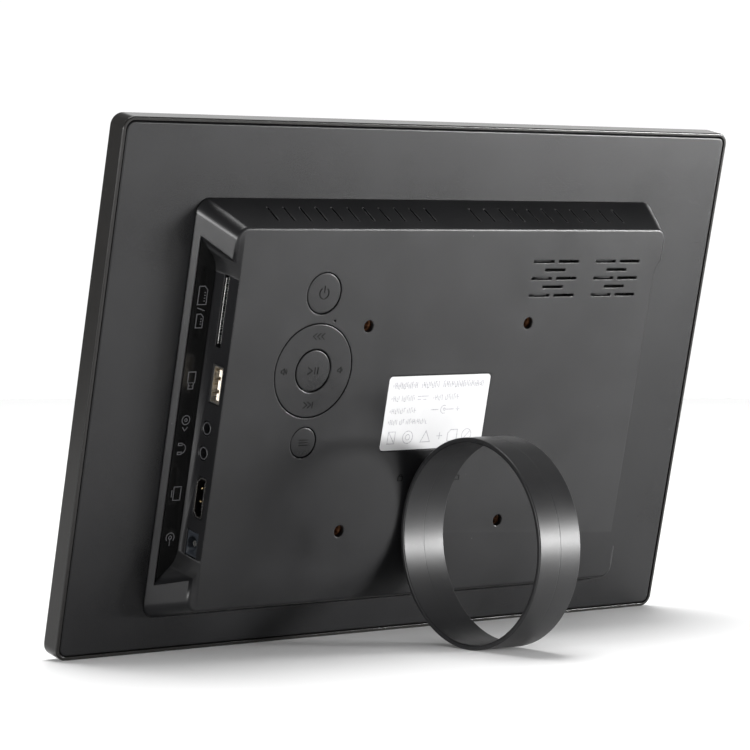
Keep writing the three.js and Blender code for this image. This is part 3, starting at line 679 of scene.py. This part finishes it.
class PhotoFrameLooks(bpy.types.PropertyGroup):
    """Colours of the photo frame and its floor."""
    case_colour: colour_property(
        "Case", "Satin plastic of the housing, plate and keys", (0.006, 0.006, 0.0065))
    surround_colour: colour_property(
        "Surround", "Polished plastic of the outer frame", (0.010, 0.0095, 0.009))
    stand_colour: colour_property("Stand", "Plastic of the round stand", (0.007, 0.007, 0.0075))
    strip_colour: colour_property("Port strip", "Glossy strip beside the sockets", (0.004, 0.004, 0.004))
    socket_colour: colour_property("Sockets", "Plastic of the jacks", (0.006, 0.006, 0.007))
    relief_colour: colour_property("Key marks", "Raised marks on the keys", (0.002, 0.002, 0.002))
    mark_colour: colour_property("Port marks", "Printed marks beside the sockets", (0.10, 0.10, 0.105))
    label_colour: colour_property("Label", "Film of the rating label", (0.44, 0.44, 0.445))
    steel_colour: colour_property("Steel", "Plated shells of the sockets", (0.82, 0.81, 0.79))
    brass_colour: colour_property("Brass", "Threaded inserts", (0.19, 0.085, 0.042))
    floor_colour: colour_property("Floor", "Studio floor", (0.92, 0.92, 0.92))


class PhotoFrameSizes(bpy.types.PropertyGroup):
    """Fine sizes of the photo frame, in millimetres."""
    rim_round: millimetres("Rim rounding", "Radius of the rim's rear outer edge", 0.5)
    front_round: millimetres("Front rounding", "Radius of the surround's front edge", 1.3)
    plate_round: millimetres("Plate rounding", "Radius round the rear of the plate", 0.7)
    key_round: millimetres("Key rounding", "Radius round the top of each key", 0.45)
    stand_round: millimetres("Stand rounding", "Radius of the ring's four edges", 0.5)
    parting_depth: millimetres("Parting line", "Depth of the line round the middle of the ring", 0.035)
    thread_pitch: millimetres("Thread pitch", "Pitch of the threaded inserts", 0.7)
    mark_height: millimetres("Mark height", "Height of the raised marks", 0.08)


class PhotoFrameStage(bpy.types.PropertyGroup):
    """Camera and lights."""
    lens: bpy.props.FloatProperty(name="Lens", description="Focal length", default=0.1595, unit="CAMERA")
    azimuth: bpy.props.FloatProperty(
        name="Azimuth", description="Camera's turn round the object",
        default=math.radians(140.6467), subtype="ANGLE")
    elevation: bpy.props.FloatProperty(
        name="Elevation", description="Camera's height angle", default=math.radians(2.2717), subtype="ANGLE")
    distance: bpy.props.FloatProperty(
        name="Distance", description="From the camera to its target", default=1.1861, unit="LENGTH")
    target: bpy.props.FloatVectorProperty(
        name="Target", description="Point that the camera faces", default=(0.02248, -0.01858, 0.0962),
        subtype="XYZ", unit="LENGTH")
    surroundings: bpy.props.FloatProperty(
        name="Surroundings", description="Light from all round", default=0.3)
    backdrop: bpy.props.FloatProperty(
        name="Backdrop", description="Light from behind the object", default=1.05)
    top_power: bpy.props.FloatProperty(
        name="Top light", description="Power of the top light", default=98, unit="POWER")
    side_power: bpy.props.FloatProperty(
        name="Side light", description="Power of the low side light", default=90, unit="POWER")
    left_power: bpy.props.FloatProperty(
        name="Left light", description="Power of the light on the sockets", default=24, unit="POWER")
    low_power: bpy.props.FloatProperty(
        name="Low light", description="Power of the light on the floor before the sockets",
        default=1.2, unit="POWER")


# ---- pieces ----
def build_surround(sizes):
    """The outer frame: one profile carried round a rounded rectangle, open in the middle for the display."""
    mean_window = (FRAME_HALF[0] - WINDOW_HALF[0] + FRAME_HALF[1] - WINDOW_HALF[1]) / 2
    shift = (FRAME_HALF[0] - WINDOW_HALF[0] - FRAME_HALF[1] + WINDOW_HALF[1]) / 2
    back_y = 2.1 - FRAME_DEPTH
    profile = turned_corners([
        (RIM_WALL, 0, 0.2),
        (0, 0, sizes.rim_round),
        (0, -FRAME_DEPTH, sizes.front_round),
        (mean_window - 1.2, -FRAME_DEPTH, 0.5),
        (mean_window, back_y, 0.2),
        (RIM_WALL, back_y, 0.5),
    ], 8)
    inset, y = profile.T
    inward = np.interp(inset, [3, mean_window - 3], [0, 1])
    inset_x, inset_z = inset + inward * shift, inset - inward * shift
    corner = np.interp(inset, [0, 3.4, mean_window - 1.2, mean_window], [FRAME_CORNER, 1.1, 1.8, 0.6])
    half_x, half_z = FRAME_HALF[0] - inset_x, FRAME_HALF[1] - inset_z
    grid = rect_rings(-half_x, half_x, -half_z, half_z, corner, y)
    piece("surround", [(skin(grid, wrap_rows=True), 0)], [rim_gloss()], "case", ["front_bezel"])


def build_back_panel(sizes):
    """The flat plate: a rounded edge outside, and a plain opening inside that the housing covers."""
    edge = sizes.plate_round
    angle = np.linspace(0, np.pi / 2, 7)
    inset = np.concatenate([[0.0], edge * (1 - np.cos(angle))])
    y = np.concatenate([[-PLATE_THICK], -edge * (1 - np.sin(angle))])
    corner = FRAME_CORNER - RIM_WALL - 0.3 - inset
    outer = rect_rings(inset - PLATE_HALF[0], PLATE_HALF[0] - inset, inset - PLATE_HALF[1],
                       PLATE_HALF[1] - inset, corner, y)
    x0, x1, z0, z1 = PLATE_OPENING
    hole = rect_rings(x0, x1, z0, z1, 4.0, np.array([0.0, -PLATE_THICK]))
    grid = np.concatenate([outer, hole])
    shape = skin(grid, wrap_rows=True)
    piece("back_panel", [(shape, 0)], [plate_satin()], "case", ["back_plate"])


def build_label():
    """The rating label: a rounded film with grey print-like rows and plain signs."""
    x0, x1, z0, z1 = LABEL_BOX
    inset = np.array([0.0, 0.0, 0.05])
    y = np.array([LABEL_REAR_Y - 0.25, LABEL_REAR_Y - 0.05, LABEL_REAR_Y])
    film = skin(rect_rings(x0 + inset, x1 - inset, z0 + inset, z1 - inset, 1.5, y))
    middle_x, middle_z = (x0 + x1) / 2, (z0 + z1) / 2
    put = seen_from_rear(middle_x, middle_z)
    low, high = LABEL_REAR_Y - 0.1, LABEL_REAR_Y + 0.02
    title = text_like(-21.5, 21.0, 10.3, 2.4, 0.78, {15, 16, 28, 29})
    rating = text_like(-21.5, -11.0, 5.5, 2.1, 0.8, {5})
    amount = text_like(-2.0, 10.0, 5.5, 2.1, 0.8, {6})
    second = text_like(-21.5, -10.0, 0.9, 1.9, 0.8, {9})
    third = text_like(-21.5, -4.0, -3.2, 1.9, 0.75, {6, 10})
    current = [([(-9.5, 6.1), (-4.5, 6.1)], False), ([(-9.5, 4.9), (-7.9, 4.9)], False),
               ([(-7.0, 4.9), (-5.4, 4.9)], False)]
    polarity = [([(-2.5, 0.9), (1.0, 0.9)], False), (arc_line((3.6, 0.9), 1.5, 60, 300), False),
                round_mark(0.45, (3.8, 0.9)), ([(4.2, 0.9), (8.2, 0.9)], False),
                ([(9.2, 0.9), (11.0, 0.9)], False), ([(10.1, 0.0), (10.1, 1.8)], False)]
    signs = [frame_mark(3.2, 4.4, 0.0, (-19.2, -9.0)), ([(-20.8, -6.8), (-17.6, -11.2)], False),
             round_mark(2.3, (-11.6, -9.0)), round_mark(1.0, (-11.6, -9.0)),
             ([(-5.4, -11.0), (-1.0, -11.0), (-3.2, -6.9)], True), ([(2.0, -9.0), (4.6, -9.0)], False),
             ([(3.3, -10.3), (3.3, -7.7)], False), frame_mark(4.4, 4.2, 1.2, (9.4, -9.0)),
             round_mark(2.2, (16.2, -9.0)), ([(14.7, -10.5), (17.7, -7.5)], False)]
    thick = strokes(title, 0.42, low, high, put)
    fine = strokes(rating + amount + second + third, 0.3, low, high, put)
    lines = strokes(current + polarity + signs, 0.34, low, high, put)
    shapes = [(film, 0), (thick, 1), (fine, 1), (lines, 1)]
    piece("label", shapes, [label_paper(), label_ink()], "case", ["rating_label"])


def build_housing():
    """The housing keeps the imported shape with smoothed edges, and carries the marks by the stand's foot."""
    merged_copy("rear_cover", "housing", case_satin())
    low, high = FACE_Y - 0.05, FACE_Y + 0.06
    lock = [frame_mark(2.0, 1.6), (arc_line((0, 0.8), 0.65, 0, 180, 13), False)]
    unlock = [frame_mark(2.0, 1.6), (arc_line((-0.5, 0.9), 0.65, 20, 200, 13), False)]
    turn = [(arc_line((0, 0), 1.5, 200, 330, 13), False), arrow_mark(0.9, 0.5, 0.6)]
    shapes = [
        (strokes(lock, 0.3, low, high, seen_from_rear(12.7, -30.8)), 0),
        (strokes(turn, 0.3, low, high, seen_from_rear(5.6, -33.3)), 0),
        (strokes(unlock, 0.3, low, high, seen_from_rear(-14.3, -31.6)), 0),
    ]
    piece("stand_marks", shapes, [relief_satin()], "case")


def build_port_strip():
    """The glossy strip with plain signs: card, data, picture and sound, headphones, display and power."""
    dress("port_label_strip", strip_gloss())
    large_contacts = [([(s, 0.6), (s, 1.2)], False) for s in (-5.4, -4.4, -3.4, -2.4)]
    small_contacts = [([(s, 0.3), (s, 0.9)], False) for s in (3.9, 4.8, 5.7)]
    card = [frame_mark(6.4, 3.6, 1.3, (-4.4, 0)), *large_contacts, ([(0.0, -1.6), (1.0, 1.6)], False),
            frame_mark(4.8, 2.8, 1.0, (4.6, 0)), *small_contacts]
    data = [frame_mark(3.8, 3.0, 0.0, (-1.2, 0)), frame_mark(2.2, 2.0, 0.0, (1.8, 0)),
            ([(1.8, 0.35), (1.8, 0.75)], False), ([(1.8, -0.75), (1.8, -0.35)], False)]
    picture = [round_mark(1.6, (-1.3, 0)), round_mark(0.5, (-1.3, 0)), arrow_mark(1.2, 1.1, 1.3)]
    phones = [(arc_line((0, -0.3), 1.7, 0, 180), False), frame_mark(0.8, 1.6, 0, (-1.6, -1.0)),
              frame_mark(0.8, 1.6, 0, (1.6, -1.0))]
    display = [frame_mark(4.8, 3.0, 0, (0, 0.4)), ([(-1.3, -1.9), (1.3, -1.9)], False)]
    power = [round_mark(0.6), (arc_line((0, 0), 1.7, 50, 310), False), ([(0.6, 0), (3.0, 0)], False)]
    rows = {30.0: card, 4.3: data, -11.0: picture, -19.9: phones, -36.0: display, -51.9: power}
    low, high = STRIP_REAR_Y - 0.05, STRIP_REAR_Y + 0.03
    shapes = [(strokes(marks, 0.36, low, high, along_strip(z)), 0) for z, marks in rows.items()]
    piece("port_marks", shapes, [pale_ink()], "case")


def build_sockets():
    """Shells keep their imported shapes, the data tongue gets teeth; contacts, rims and a spring are added."""
    merged_copy("card_socket", "card_shell", socket_plastic())
    merged_copy("usb_socket", "data_shell", plated_steel())
    merged_copy("hd_socket", "display_shell", dark_plating())
    for node in ("av_jack", "headphone_jack"):
        merged_copy(node, node + "_body", socket_plastic())
    merged_copy("dc_jack", "dc_jack_body", power_plastic())
    merged_copy("dc_pin", "dc_contact_pin", plated_steel())
    spring = bar_block((95.4, 8.6, 18.8), (96.7, 8.85, 42.0))
    piece("card_spring", [(spring, 0)], [plated_steel()], "case")
    root, nose = 84.1, 96.4
    teeth = ((-0.35, 2.1), (3.4, 6.7), (8.0, 10.45))
    tongue = [bar_block((root, 12.7, -0.35), (nose, 13.8, 10.45)),
              *[bar_block((root, 11.6, near), (nose, 12.8, far)) for near, far in teeth]]
    piece("data_tongue", [(t, 0) for t in tongue], [pale_moulding()], "case", ["usb_tongue"])
    contacts = [bar_block((87.0, 11.3, z - 0.4), (94.8, 11.65, z + 0.4)) for z in (1.0, 4.2, 5.9, 9.1)]
    piece("data_contacts", [(c, 0) for c in contacts], [gold_contact()], "case")
    merged_copy("hd_tongue", "display_tongue", socket_plastic())
    pins = [bar_block((94.4, 10.3, z - 0.35), (96.5, 10.9, z + 0.35)) for z in (-36.8, -32.1)]
    piece("display_contacts", [(c, 0) for c in pins], [gold_contact()], "case")
    outline = [(13.05, -42.35), (13.05, -28.55), (10.2, -28.55), (8.45, -30.3), (8.45, -40.6), (10.2, -42.35)]
    points, faces = ribbon(np.array(outline), 0.22, 96.7, 97.0, True)
    piece("display_rim", [((points[:, [1, 0, 2]], faces), 0)], [plated_steel()], "case")
    for name, z in (("av_rim", -11.0), ("headphone_rim", -19.8)):
        outline = turned_corners([(1.8, 96.2, 0.1), (2.3, 96.2, 0.1), (2.3, 97.0, 0.2), (1.8, 97.0, 0.2)], 4)
        ring = spun(outline, (0, 9.5, z), "x", 48, closed=True)
        piece(name, [(ring, 0)], [inner_plastic()], "case")


def key_shape(radius, z, bottom, sizes, inner=0.0):
    """A key: a flange below, straight sides, a turned top edge; a ring key has a bore with the same edge."""
    edge = sizes.key_round
    corners = [(radius + 1.2, bottom, 0.1), (radius + 1.2, bottom + 1, 0.1), (radius, bottom + 1, 0.05),
               (radius, FACE_Y, edge)]
    if inner:
        corners = [(inner, bottom, 0.1), *corners, (inner, FACE_Y, edge)]
        return spun(turned_corners(corners, 6), (KEYS_X, 0, z), steps=128, closed=True)
    half = turned_corners([(-radius, bottom, 0.1), *corners], 6)
    half = half[half[:, 0] > 0]
    profile = np.concatenate([[(0, bottom)], half, [(0, FACE_Y)]])
    return spun(profile, (KEYS_X, 0, z), steps=96)


def build_keys(sizes):
    """The power, menu and play keys and the four-way ring, each with raised marks."""
    low, high = FACE_Y - 0.05, FACE_Y + sizes.mark_height
    lines = [([(-1.9, t), (1.9, t)], False) for t in (0.95, 0, -0.95)]
    keys = {
        "power_button": (7.3, POWER_Z, power_mark(2.0)),
        "menu_button": (5.45, MENU_Z, lines),
        "play_button": (7.4, NAV_Z, [arrow_mark(-2.4, 1.25, 1.9), tick_mark(0.7, 1.3), tick_mark(2.0, 1.3)]),
    }
    for body, (radius, z, marks) in keys.items():
        print_shape = strokes(marks, 0.32, low, high, seen_from_rear(KEYS_X, z))
        shapes = [(key_shape(radius, z, 13.0, sizes), 0), (print_shape, 1)]
        name = body.replace("button", "key")
        piece(name, shapes, [key_satin(), relief_satin()], body, [body])
    reach = 12.3
    ring_marks = [
        (strokes([arrow_mark(s, 1.15, -1.5) for s in (-0.7, 1.1, 2.9)], 0.3, low, high,
                 seen_from_rear(KEYS_X, NAV_Z + reach)), 1),
        (strokes([arrow_mark(s, 1.15, 1.5) for s in (-2.4, -0.6)] + [tick_mark(1.6, 1.2)], 0.3, low, high,
                 seen_from_rear(KEYS_X, NAV_Z - reach)), 1),
        (strokes(waves_mark(-1.8, 1, 2), 0.26, low, high, seen_from_rear(KEYS_X + reach, NAV_Z)), 1),
        (strokes(waves_mark(-1.4, 1, 1), 0.26, low, high, seen_from_rear(KEYS_X - reach, NAV_Z)), 1),
    ]
    shapes = [(key_shape(16.8, NAV_Z, 12.6, sizes, inner=7.75), 0), *ring_marks]
    piece("four_way_key", shapes, [key_satin(), relief_satin()], "nav_ring", ["nav_ring"])


def build_inserts(sizes):
    """Threaded brass inserts: the bore's radius is a mean plus a saw wave of height over pitch plus turn."""
    steps, turns = 48, 8.0
    low, high = 8.2, 14.4
    y = np.linspace(low, high, 90)
    angle = np.linspace(0, 2 * np.pi, steps, endpoint=False)
    phase = (y[:, None] - low) / sizes.thread_pitch + angle[None] / (2 * np.pi)
    bore = 1.55 + 0.28 * np.abs(2 * (phase % 1) - 1)
    bore[0] = bore[-1] = 1.9
    outer = np.interp(y, [low, low + 0.4, high - 0.4, high], [2.5, 2.8, 2.8, 2.5])
    knurl = 0.06 * np.cos(angle * turns * 3)[None] * (np.abs(y - 11.3) < 2.4)[:, None]
    skins = [bore, (outer[:, None] + knurl)[::-1]]
    names = ("upper_left", "upper_right", "lower_left", "lower_right")
    for name, (x, z) in zip(names, HOLE_PATTERN):
        rows = [np.stack([r * np.cos(angle), np.broadcast_to(h[:, None], r.shape), r * np.sin(angle)], -1)
                for r, h in zip(skins, (y, y[::-1]))]
        grid = np.concatenate(rows) + np.array([x, 0, z])
        piece("insert_" + name, [(skin(grid, wrap_rows=True), 0)], [turned_brass()], "case",
              ["thread_insert_" + name])


def build_speakers():
    """Speakers: a basket with a rim, and in front a ribbed surround, a cone and a cap, from one profile."""
    basket = [(0, 4.6), (5.4, 4.6), (5.6, 4.8), (5.6, 8.0), (11.2, 10.7), (13, 10.9), (13, 12.3),
              (12.9, 12.4), (11.9, 12.4)]
    roll = [(11.9 - 1.6 * t, 11.9 + 0.45 * math.sin(math.pi * t)) for t in np.linspace(0, 1, 9)]
    cone = [(10.3 - 5.6 * t, 11.9 - 2.4 * t - 0.3 * math.sin(math.pi * t)) for t in np.linspace(0.05, 1, 9)]
    cap = [(4.6 * math.cos(t), 9.5 + 1.5 * math.sin(t)) for t in np.linspace(0.05, math.pi / 2, 9)]
    for node, x in SPEAKERS.items():
        shape = spun(basket + roll + cone + cap, (x, 0, SPEAKER_Z), steps=64)
        materials = [paper_cone(), plated_steel()]
        made = piece(node + "_cone", [(shape, 0)], materials, "case", [node])
        height = np.array([(p.center - Vector(ORIGIN)).dot(Vector(REARWARD)) for p in made.data.polygons])
        away = np.array([(p.center - Vector(lean((x, 0, SPEAKER_Z))[0])).length for p in made.data.polygons])
        rim = ((away > np.hypot(0.0119, height)) | (height < 0.0088)).astype(np.int32)
        made.data.polygons.foreach_set("material_index", rim)


def build_stand(sizes):
    """The round stand: a thin ring about an axis across the frame, a parting line and a round foot."""
    edge, line = sizes.stand_round, sizes.parting_depth
    inner = RING_RADIUS - RING_WALL
    outline = turned_corners([
        (RING_RADIUS, -RING_HALF, edge), (RING_RADIUS, -0.22, 0.05), (RING_RADIUS - line, 0, 0.03),
        (RING_RADIUS, 0.22, 0.05), (RING_RADIUS, RING_HALF, edge), (inner, RING_HALF, edge),
        (inner, 0.22, 0.05), (inner + line, 0, 0.03), (inner, -0.22, 0.05), (inner, -RING_HALF, edge),
    ], 6)
    ring = spun(outline, (0, RING_Y, RING_Z), "x", 256, closed=True)
    foot = turned_corners([(6.8, 12.2, 0.3), (6.8, 18.0, 0.05), (2.2, 18.0, 0.05), (2.2, 12.2, 0.2)], 4)
    shaft = spun(foot, (0, 0, RING_Z), steps=64, closed=True)
    piece("stand_ring", [(ring, 0), (shaft, 0)], [stand_satin()], "stand", ["ring_stand"])


def dress_inside():
    """Materials for what the case hides: display, boards, switches, cable and screws."""
    dress("lcd_panel", screen_glass())
    dress("backlight_tray", pressed_tray())
    dress("display_cable", amber_film())
    for node in ("main_board", "key_board"):
        dress(node, board_mask())
    for node in frame["nodes"]:
        if "screw" in node or node == "stand_retainer":
            dress(node, plated_steel())
        elif "switch" in node or node == "nav_carrier":
            dress(node, inner_plastic())


# ---- stage ----
def soft_light(name, place, target, size, power):
    """A rectangular soft light that faces its target."""
    lamp = bpy.data.lights.new(name, "AREA")
    lamp.shape = "RECTANGLE"
    lamp.size, lamp.size_y = size
    lamp.energy = power
    thing = bpy.data.objects.new(name, lamp)
    thing.location = place
    thing.visible_camera = False
    thing.rotation_euler = (Vector(target) - Vector(place)).to_track_quat("-Z", "Y").to_euler()
    bpy.context.scene.collection.objects.link(thing)


def build_stage(stage):
    """A wide pale floor, light from all round with a dark flag on one side, four lights and the camera."""
    floor = bpy.data.meshes.new("floor")
    radius = np.array([0.0, 0.5, 1.2, 1.9])
    angle = np.linspace(0, 2 * np.pi, 96, endpoint=False)
    reach = radius[:, None]
    grid = np.stack([reach * np.cos(angle), reach * np.sin(angle), 0 * reach * angle], -1)
    points, faces = skin(grid, caps=False)
    floor.from_pydata(points, [], faces)
    work = bmesh.new()
    work.from_mesh(floor)
    bmesh.ops.remove_doubles(work, verts=work.verts, dist=1e-6)
    bmesh.ops.recalc_face_normals(work, faces=work.faces)
    if next(iter(work.faces)).normal.z < 0:
        bmesh.ops.reverse_faces(work, faces=work.faces)
    work.to_mesh(floor)
    work.free()
    floor.materials.append(studio_floor())
    thing = bpy.data.objects.new("floor", floor)
    bpy.context.scene.collection.objects.link(thing)

    world = bpy.data.worlds.new("studio")
    world.use_nodes = True
    sky = Recipe("studio", world.node_tree)
    direction = sky.node("ShaderNodeTexCoord")
    dot = {"operation": "DOT_PRODUCT"}
    facing = sky.node("ShaderNodeVectorMath", dot, {0: direction, 1: (-0.634, -0.773, 0.0)}, 1)
    height = sky.axes(direction)[2]
    behind = facing.between(0.7, 0.93)
    low = 1 - height.between(0.0, 0.14)
    beside = sky.node("ShaderNodeVectorMath", dot, {0: direction, 1: (0.64, -0.77, 0.0)}, 1)
    flag = beside.between(0.6, 0.9) * height.between(-0.3, -0.12)
    share = behind.math("MAXIMUM", behind, low * (1 - flag))
    sky.tree.links.new(
        (share * (stage.backdrop - stage.surroundings) + stage.surroundings).socket,
        sky.tree.nodes["Background"].inputs["Strength"])
    sky.tree.nodes["Background"].inputs["Color"].default_value = (1, 1, 1, 1)
    bpy.context.scene.world = world
    soft_light("top_light", (-0.2, -0.5, 3.0), (-0.1, -0.2, 0), (1.8, 1.8), stage.top_power)
    soft_light("side_light", (-1.55, 1.3, 0.14), (-0.1, 0, 0.12), (0.6, 0.2), stage.side_power)
    soft_light("left_light", (1.6, 0.16, 0.14), (0, 0, 0.09), (0.45, 0.26), stage.left_power)
    soft_light("low_light", (0.34, 0.44, 0.012), (0.34, 0.44, 1.0), (0.26, 0.26), stage.low_power)

    lens = bpy.data.cameras.new("camera")
    lens.lens = stage.lens * 1000
    lens.sensor_width = 36
    lens.clip_start = 0.05
    camera = bpy.data.objects.new("camera", lens)
    level = math.cos(stage.elevation)
    across, along = math.sin(stage.azimuth) * level, -math.cos(stage.azimuth) * level
    back = Vector((across, along, math.sin(stage.elevation)))
    camera.location = Vector(stage.target) + back * stage.distance
    camera.rotation_euler = (-back).to_track_quat("-Z", "Y").to_euler()
    bpy.context.scene.collection.objects.link(camera)
    bpy.context.scene.camera = camera
    bpy.context.scene.view_settings.view_transform = "Standard"


# ---- operators ----
class PHOTOFRAME_OT_surround(bpy.types.Operator):
    """Build the outer frame"""
    bl_idname = "photoframe.surround"
    bl_label = "Outer Frame"

    def execute(self, context):
        build_surround(context.scene.photo_frame_sizes)
        return {"FINISHED"}


class PHOTOFRAME_OT_back_panel(bpy.types.Operator):
    """Build the flat plate at the rear"""
    bl_idname = "photoframe.back_panel"
    bl_label = "Back Plate"

    def execute(self, context):
        build_back_panel(context.scene.photo_frame_sizes)
        return {"FINISHED"}


class PHOTOFRAME_OT_housing(bpy.types.Operator):
    """Smooth the rear housing and add the marks by the stand"""
    bl_idname = "photoframe.housing"
    bl_label = "Rear Housing"

    def execute(self, context):
        build_housing()
        return {"FINISHED"}


class PHOTOFRAME_OT_label(bpy.types.Operator):
    """Build the rating label with plain marks"""
    bl_idname = "photoframe.label"
    bl_label = "Rating Label"

    def execute(self, context):
        build_label()
        return {"FINISHED"}


class PHOTOFRAME_OT_sockets(bpy.types.Operator):
    """Build the sockets and the marked strip beside them"""
    bl_idname = "photoframe.sockets"
    bl_label = "Sockets"

    def execute(self, context):
        build_port_strip()
        build_sockets()
        return {"FINISHED"}


class PHOTOFRAME_OT_keys(bpy.types.Operator):
    """Build the three keys and the four-way ring"""
    bl_idname = "photoframe.keys"
    bl_label = "Keys"

    def execute(self, context):
        build_keys(context.scene.photo_frame_sizes)
        return {"FINISHED"}


class PHOTOFRAME_OT_inserts(bpy.types.Operator):
    """Build the four threaded inserts"""
    bl_idname = "photoframe.inserts"
    bl_label = "Threaded Inserts"

    def execute(self, context):
        build_inserts(context.scene.photo_frame_sizes)
        return {"FINISHED"}


class PHOTOFRAME_OT_speakers(bpy.types.Operator):
    """Build the two speakers behind their slots"""
    bl_idname = "photoframe.speakers"
    bl_label = "Speakers"

    def execute(self, context):
        build_speakers()
        return {"FINISHED"}


class PHOTOFRAME_OT_stand(bpy.types.Operator):
    """Build the round stand"""
    bl_idname = "photoframe.stand"
    bl_label = "Round Stand"

    def execute(self, context):
        build_stand(context.scene.photo_frame_sizes)
        return {"FINISHED"}


class PHOTOFRAME_OT_inside(bpy.types.Operator):
    """Give the display and the parts inside their materials"""
    bl_idname = "photoframe.inside"
    bl_label = "Display and Inside"

    def execute(self, context):
        dress_inside()
        return {"FINISHED"}


class PHOTOFRAME_OT_stage(bpy.types.Operator):
    """Set up the floor, the lights and the camera"""
    bl_idname = "photoframe.stage"
    bl_label = "Studio"

    def execute(self, context):
        build_stage(context.scene.photo_frame_stage)
        return {"FINISHED"}


OPERATORS = (
    PHOTOFRAME_OT_surround,
    PHOTOFRAME_OT_back_panel,
    PHOTOFRAME_OT_housing,
    PHOTOFRAME_OT_label,
    PHOTOFRAME_OT_sockets,
    PHOTOFRAME_OT_keys,
    PHOTOFRAME_OT_inserts,
    PHOTOFRAME_OT_speakers,
    PHOTOFRAME_OT_stand,
    PHOTOFRAME_OT_inside,
    PHOTOFRAME_OT_stage,
)


class PHOTOFRAME_PT_panel(bpy.types.Panel):
    """Lists the pieces and the settings"""
    bl_idname = "PHOTOFRAME_PT_panel"
    bl_label = "Photo Frame"
    bl_space_type = "VIEW_3D"
    bl_region_type = "UI"
    bl_category = "Photo Frame"

    def draw(self, context):
        column = self.layout.column(align=True)
        for operator in OPERATORS:
            column.operator(operator.bl_idname)
        scene = context.scene
        for group in (scene.photo_frame_looks, scene.photo_frame_sizes, scene.photo_frame_stage):
            box = self.layout.box()
            for name in group.__annotations__:
                box.prop(group, name)


GROUPS = {
    "photo_frame_looks": PhotoFrameLooks,
    "photo_frame_sizes": PhotoFrameSizes,
    "photo_frame_stage": PhotoFrameStage,
}


def register():
    for group in GROUPS.values():
        bpy.utils.register_class(group)
    for name, group in GROUPS.items():
        setattr(bpy.types.Scene, name, bpy.props.PointerProperty(type=group))
    for shown in (*OPERATORS, PHOTOFRAME_PT_panel):
        bpy.utils.register_class(shown)


def unregister():
    for shown in reversed((*OPERATORS, PHOTOFRAME_PT_panel)):
        bpy.utils.unregister_class(shown)
    for name, group in GROUPS.items():
        delattr(bpy.types.Scene, name)
        bpy.utils.unregister_class(group)


def main():
    """Registers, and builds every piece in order."""
    register()
    for operator in OPERATORS:
        group, name = operator.bl_idname.split(".")
        getattr(getattr(bpy.ops, group), name)()
    bpy.context.view_layer.update()


if __name__ == "__main__":
    main()
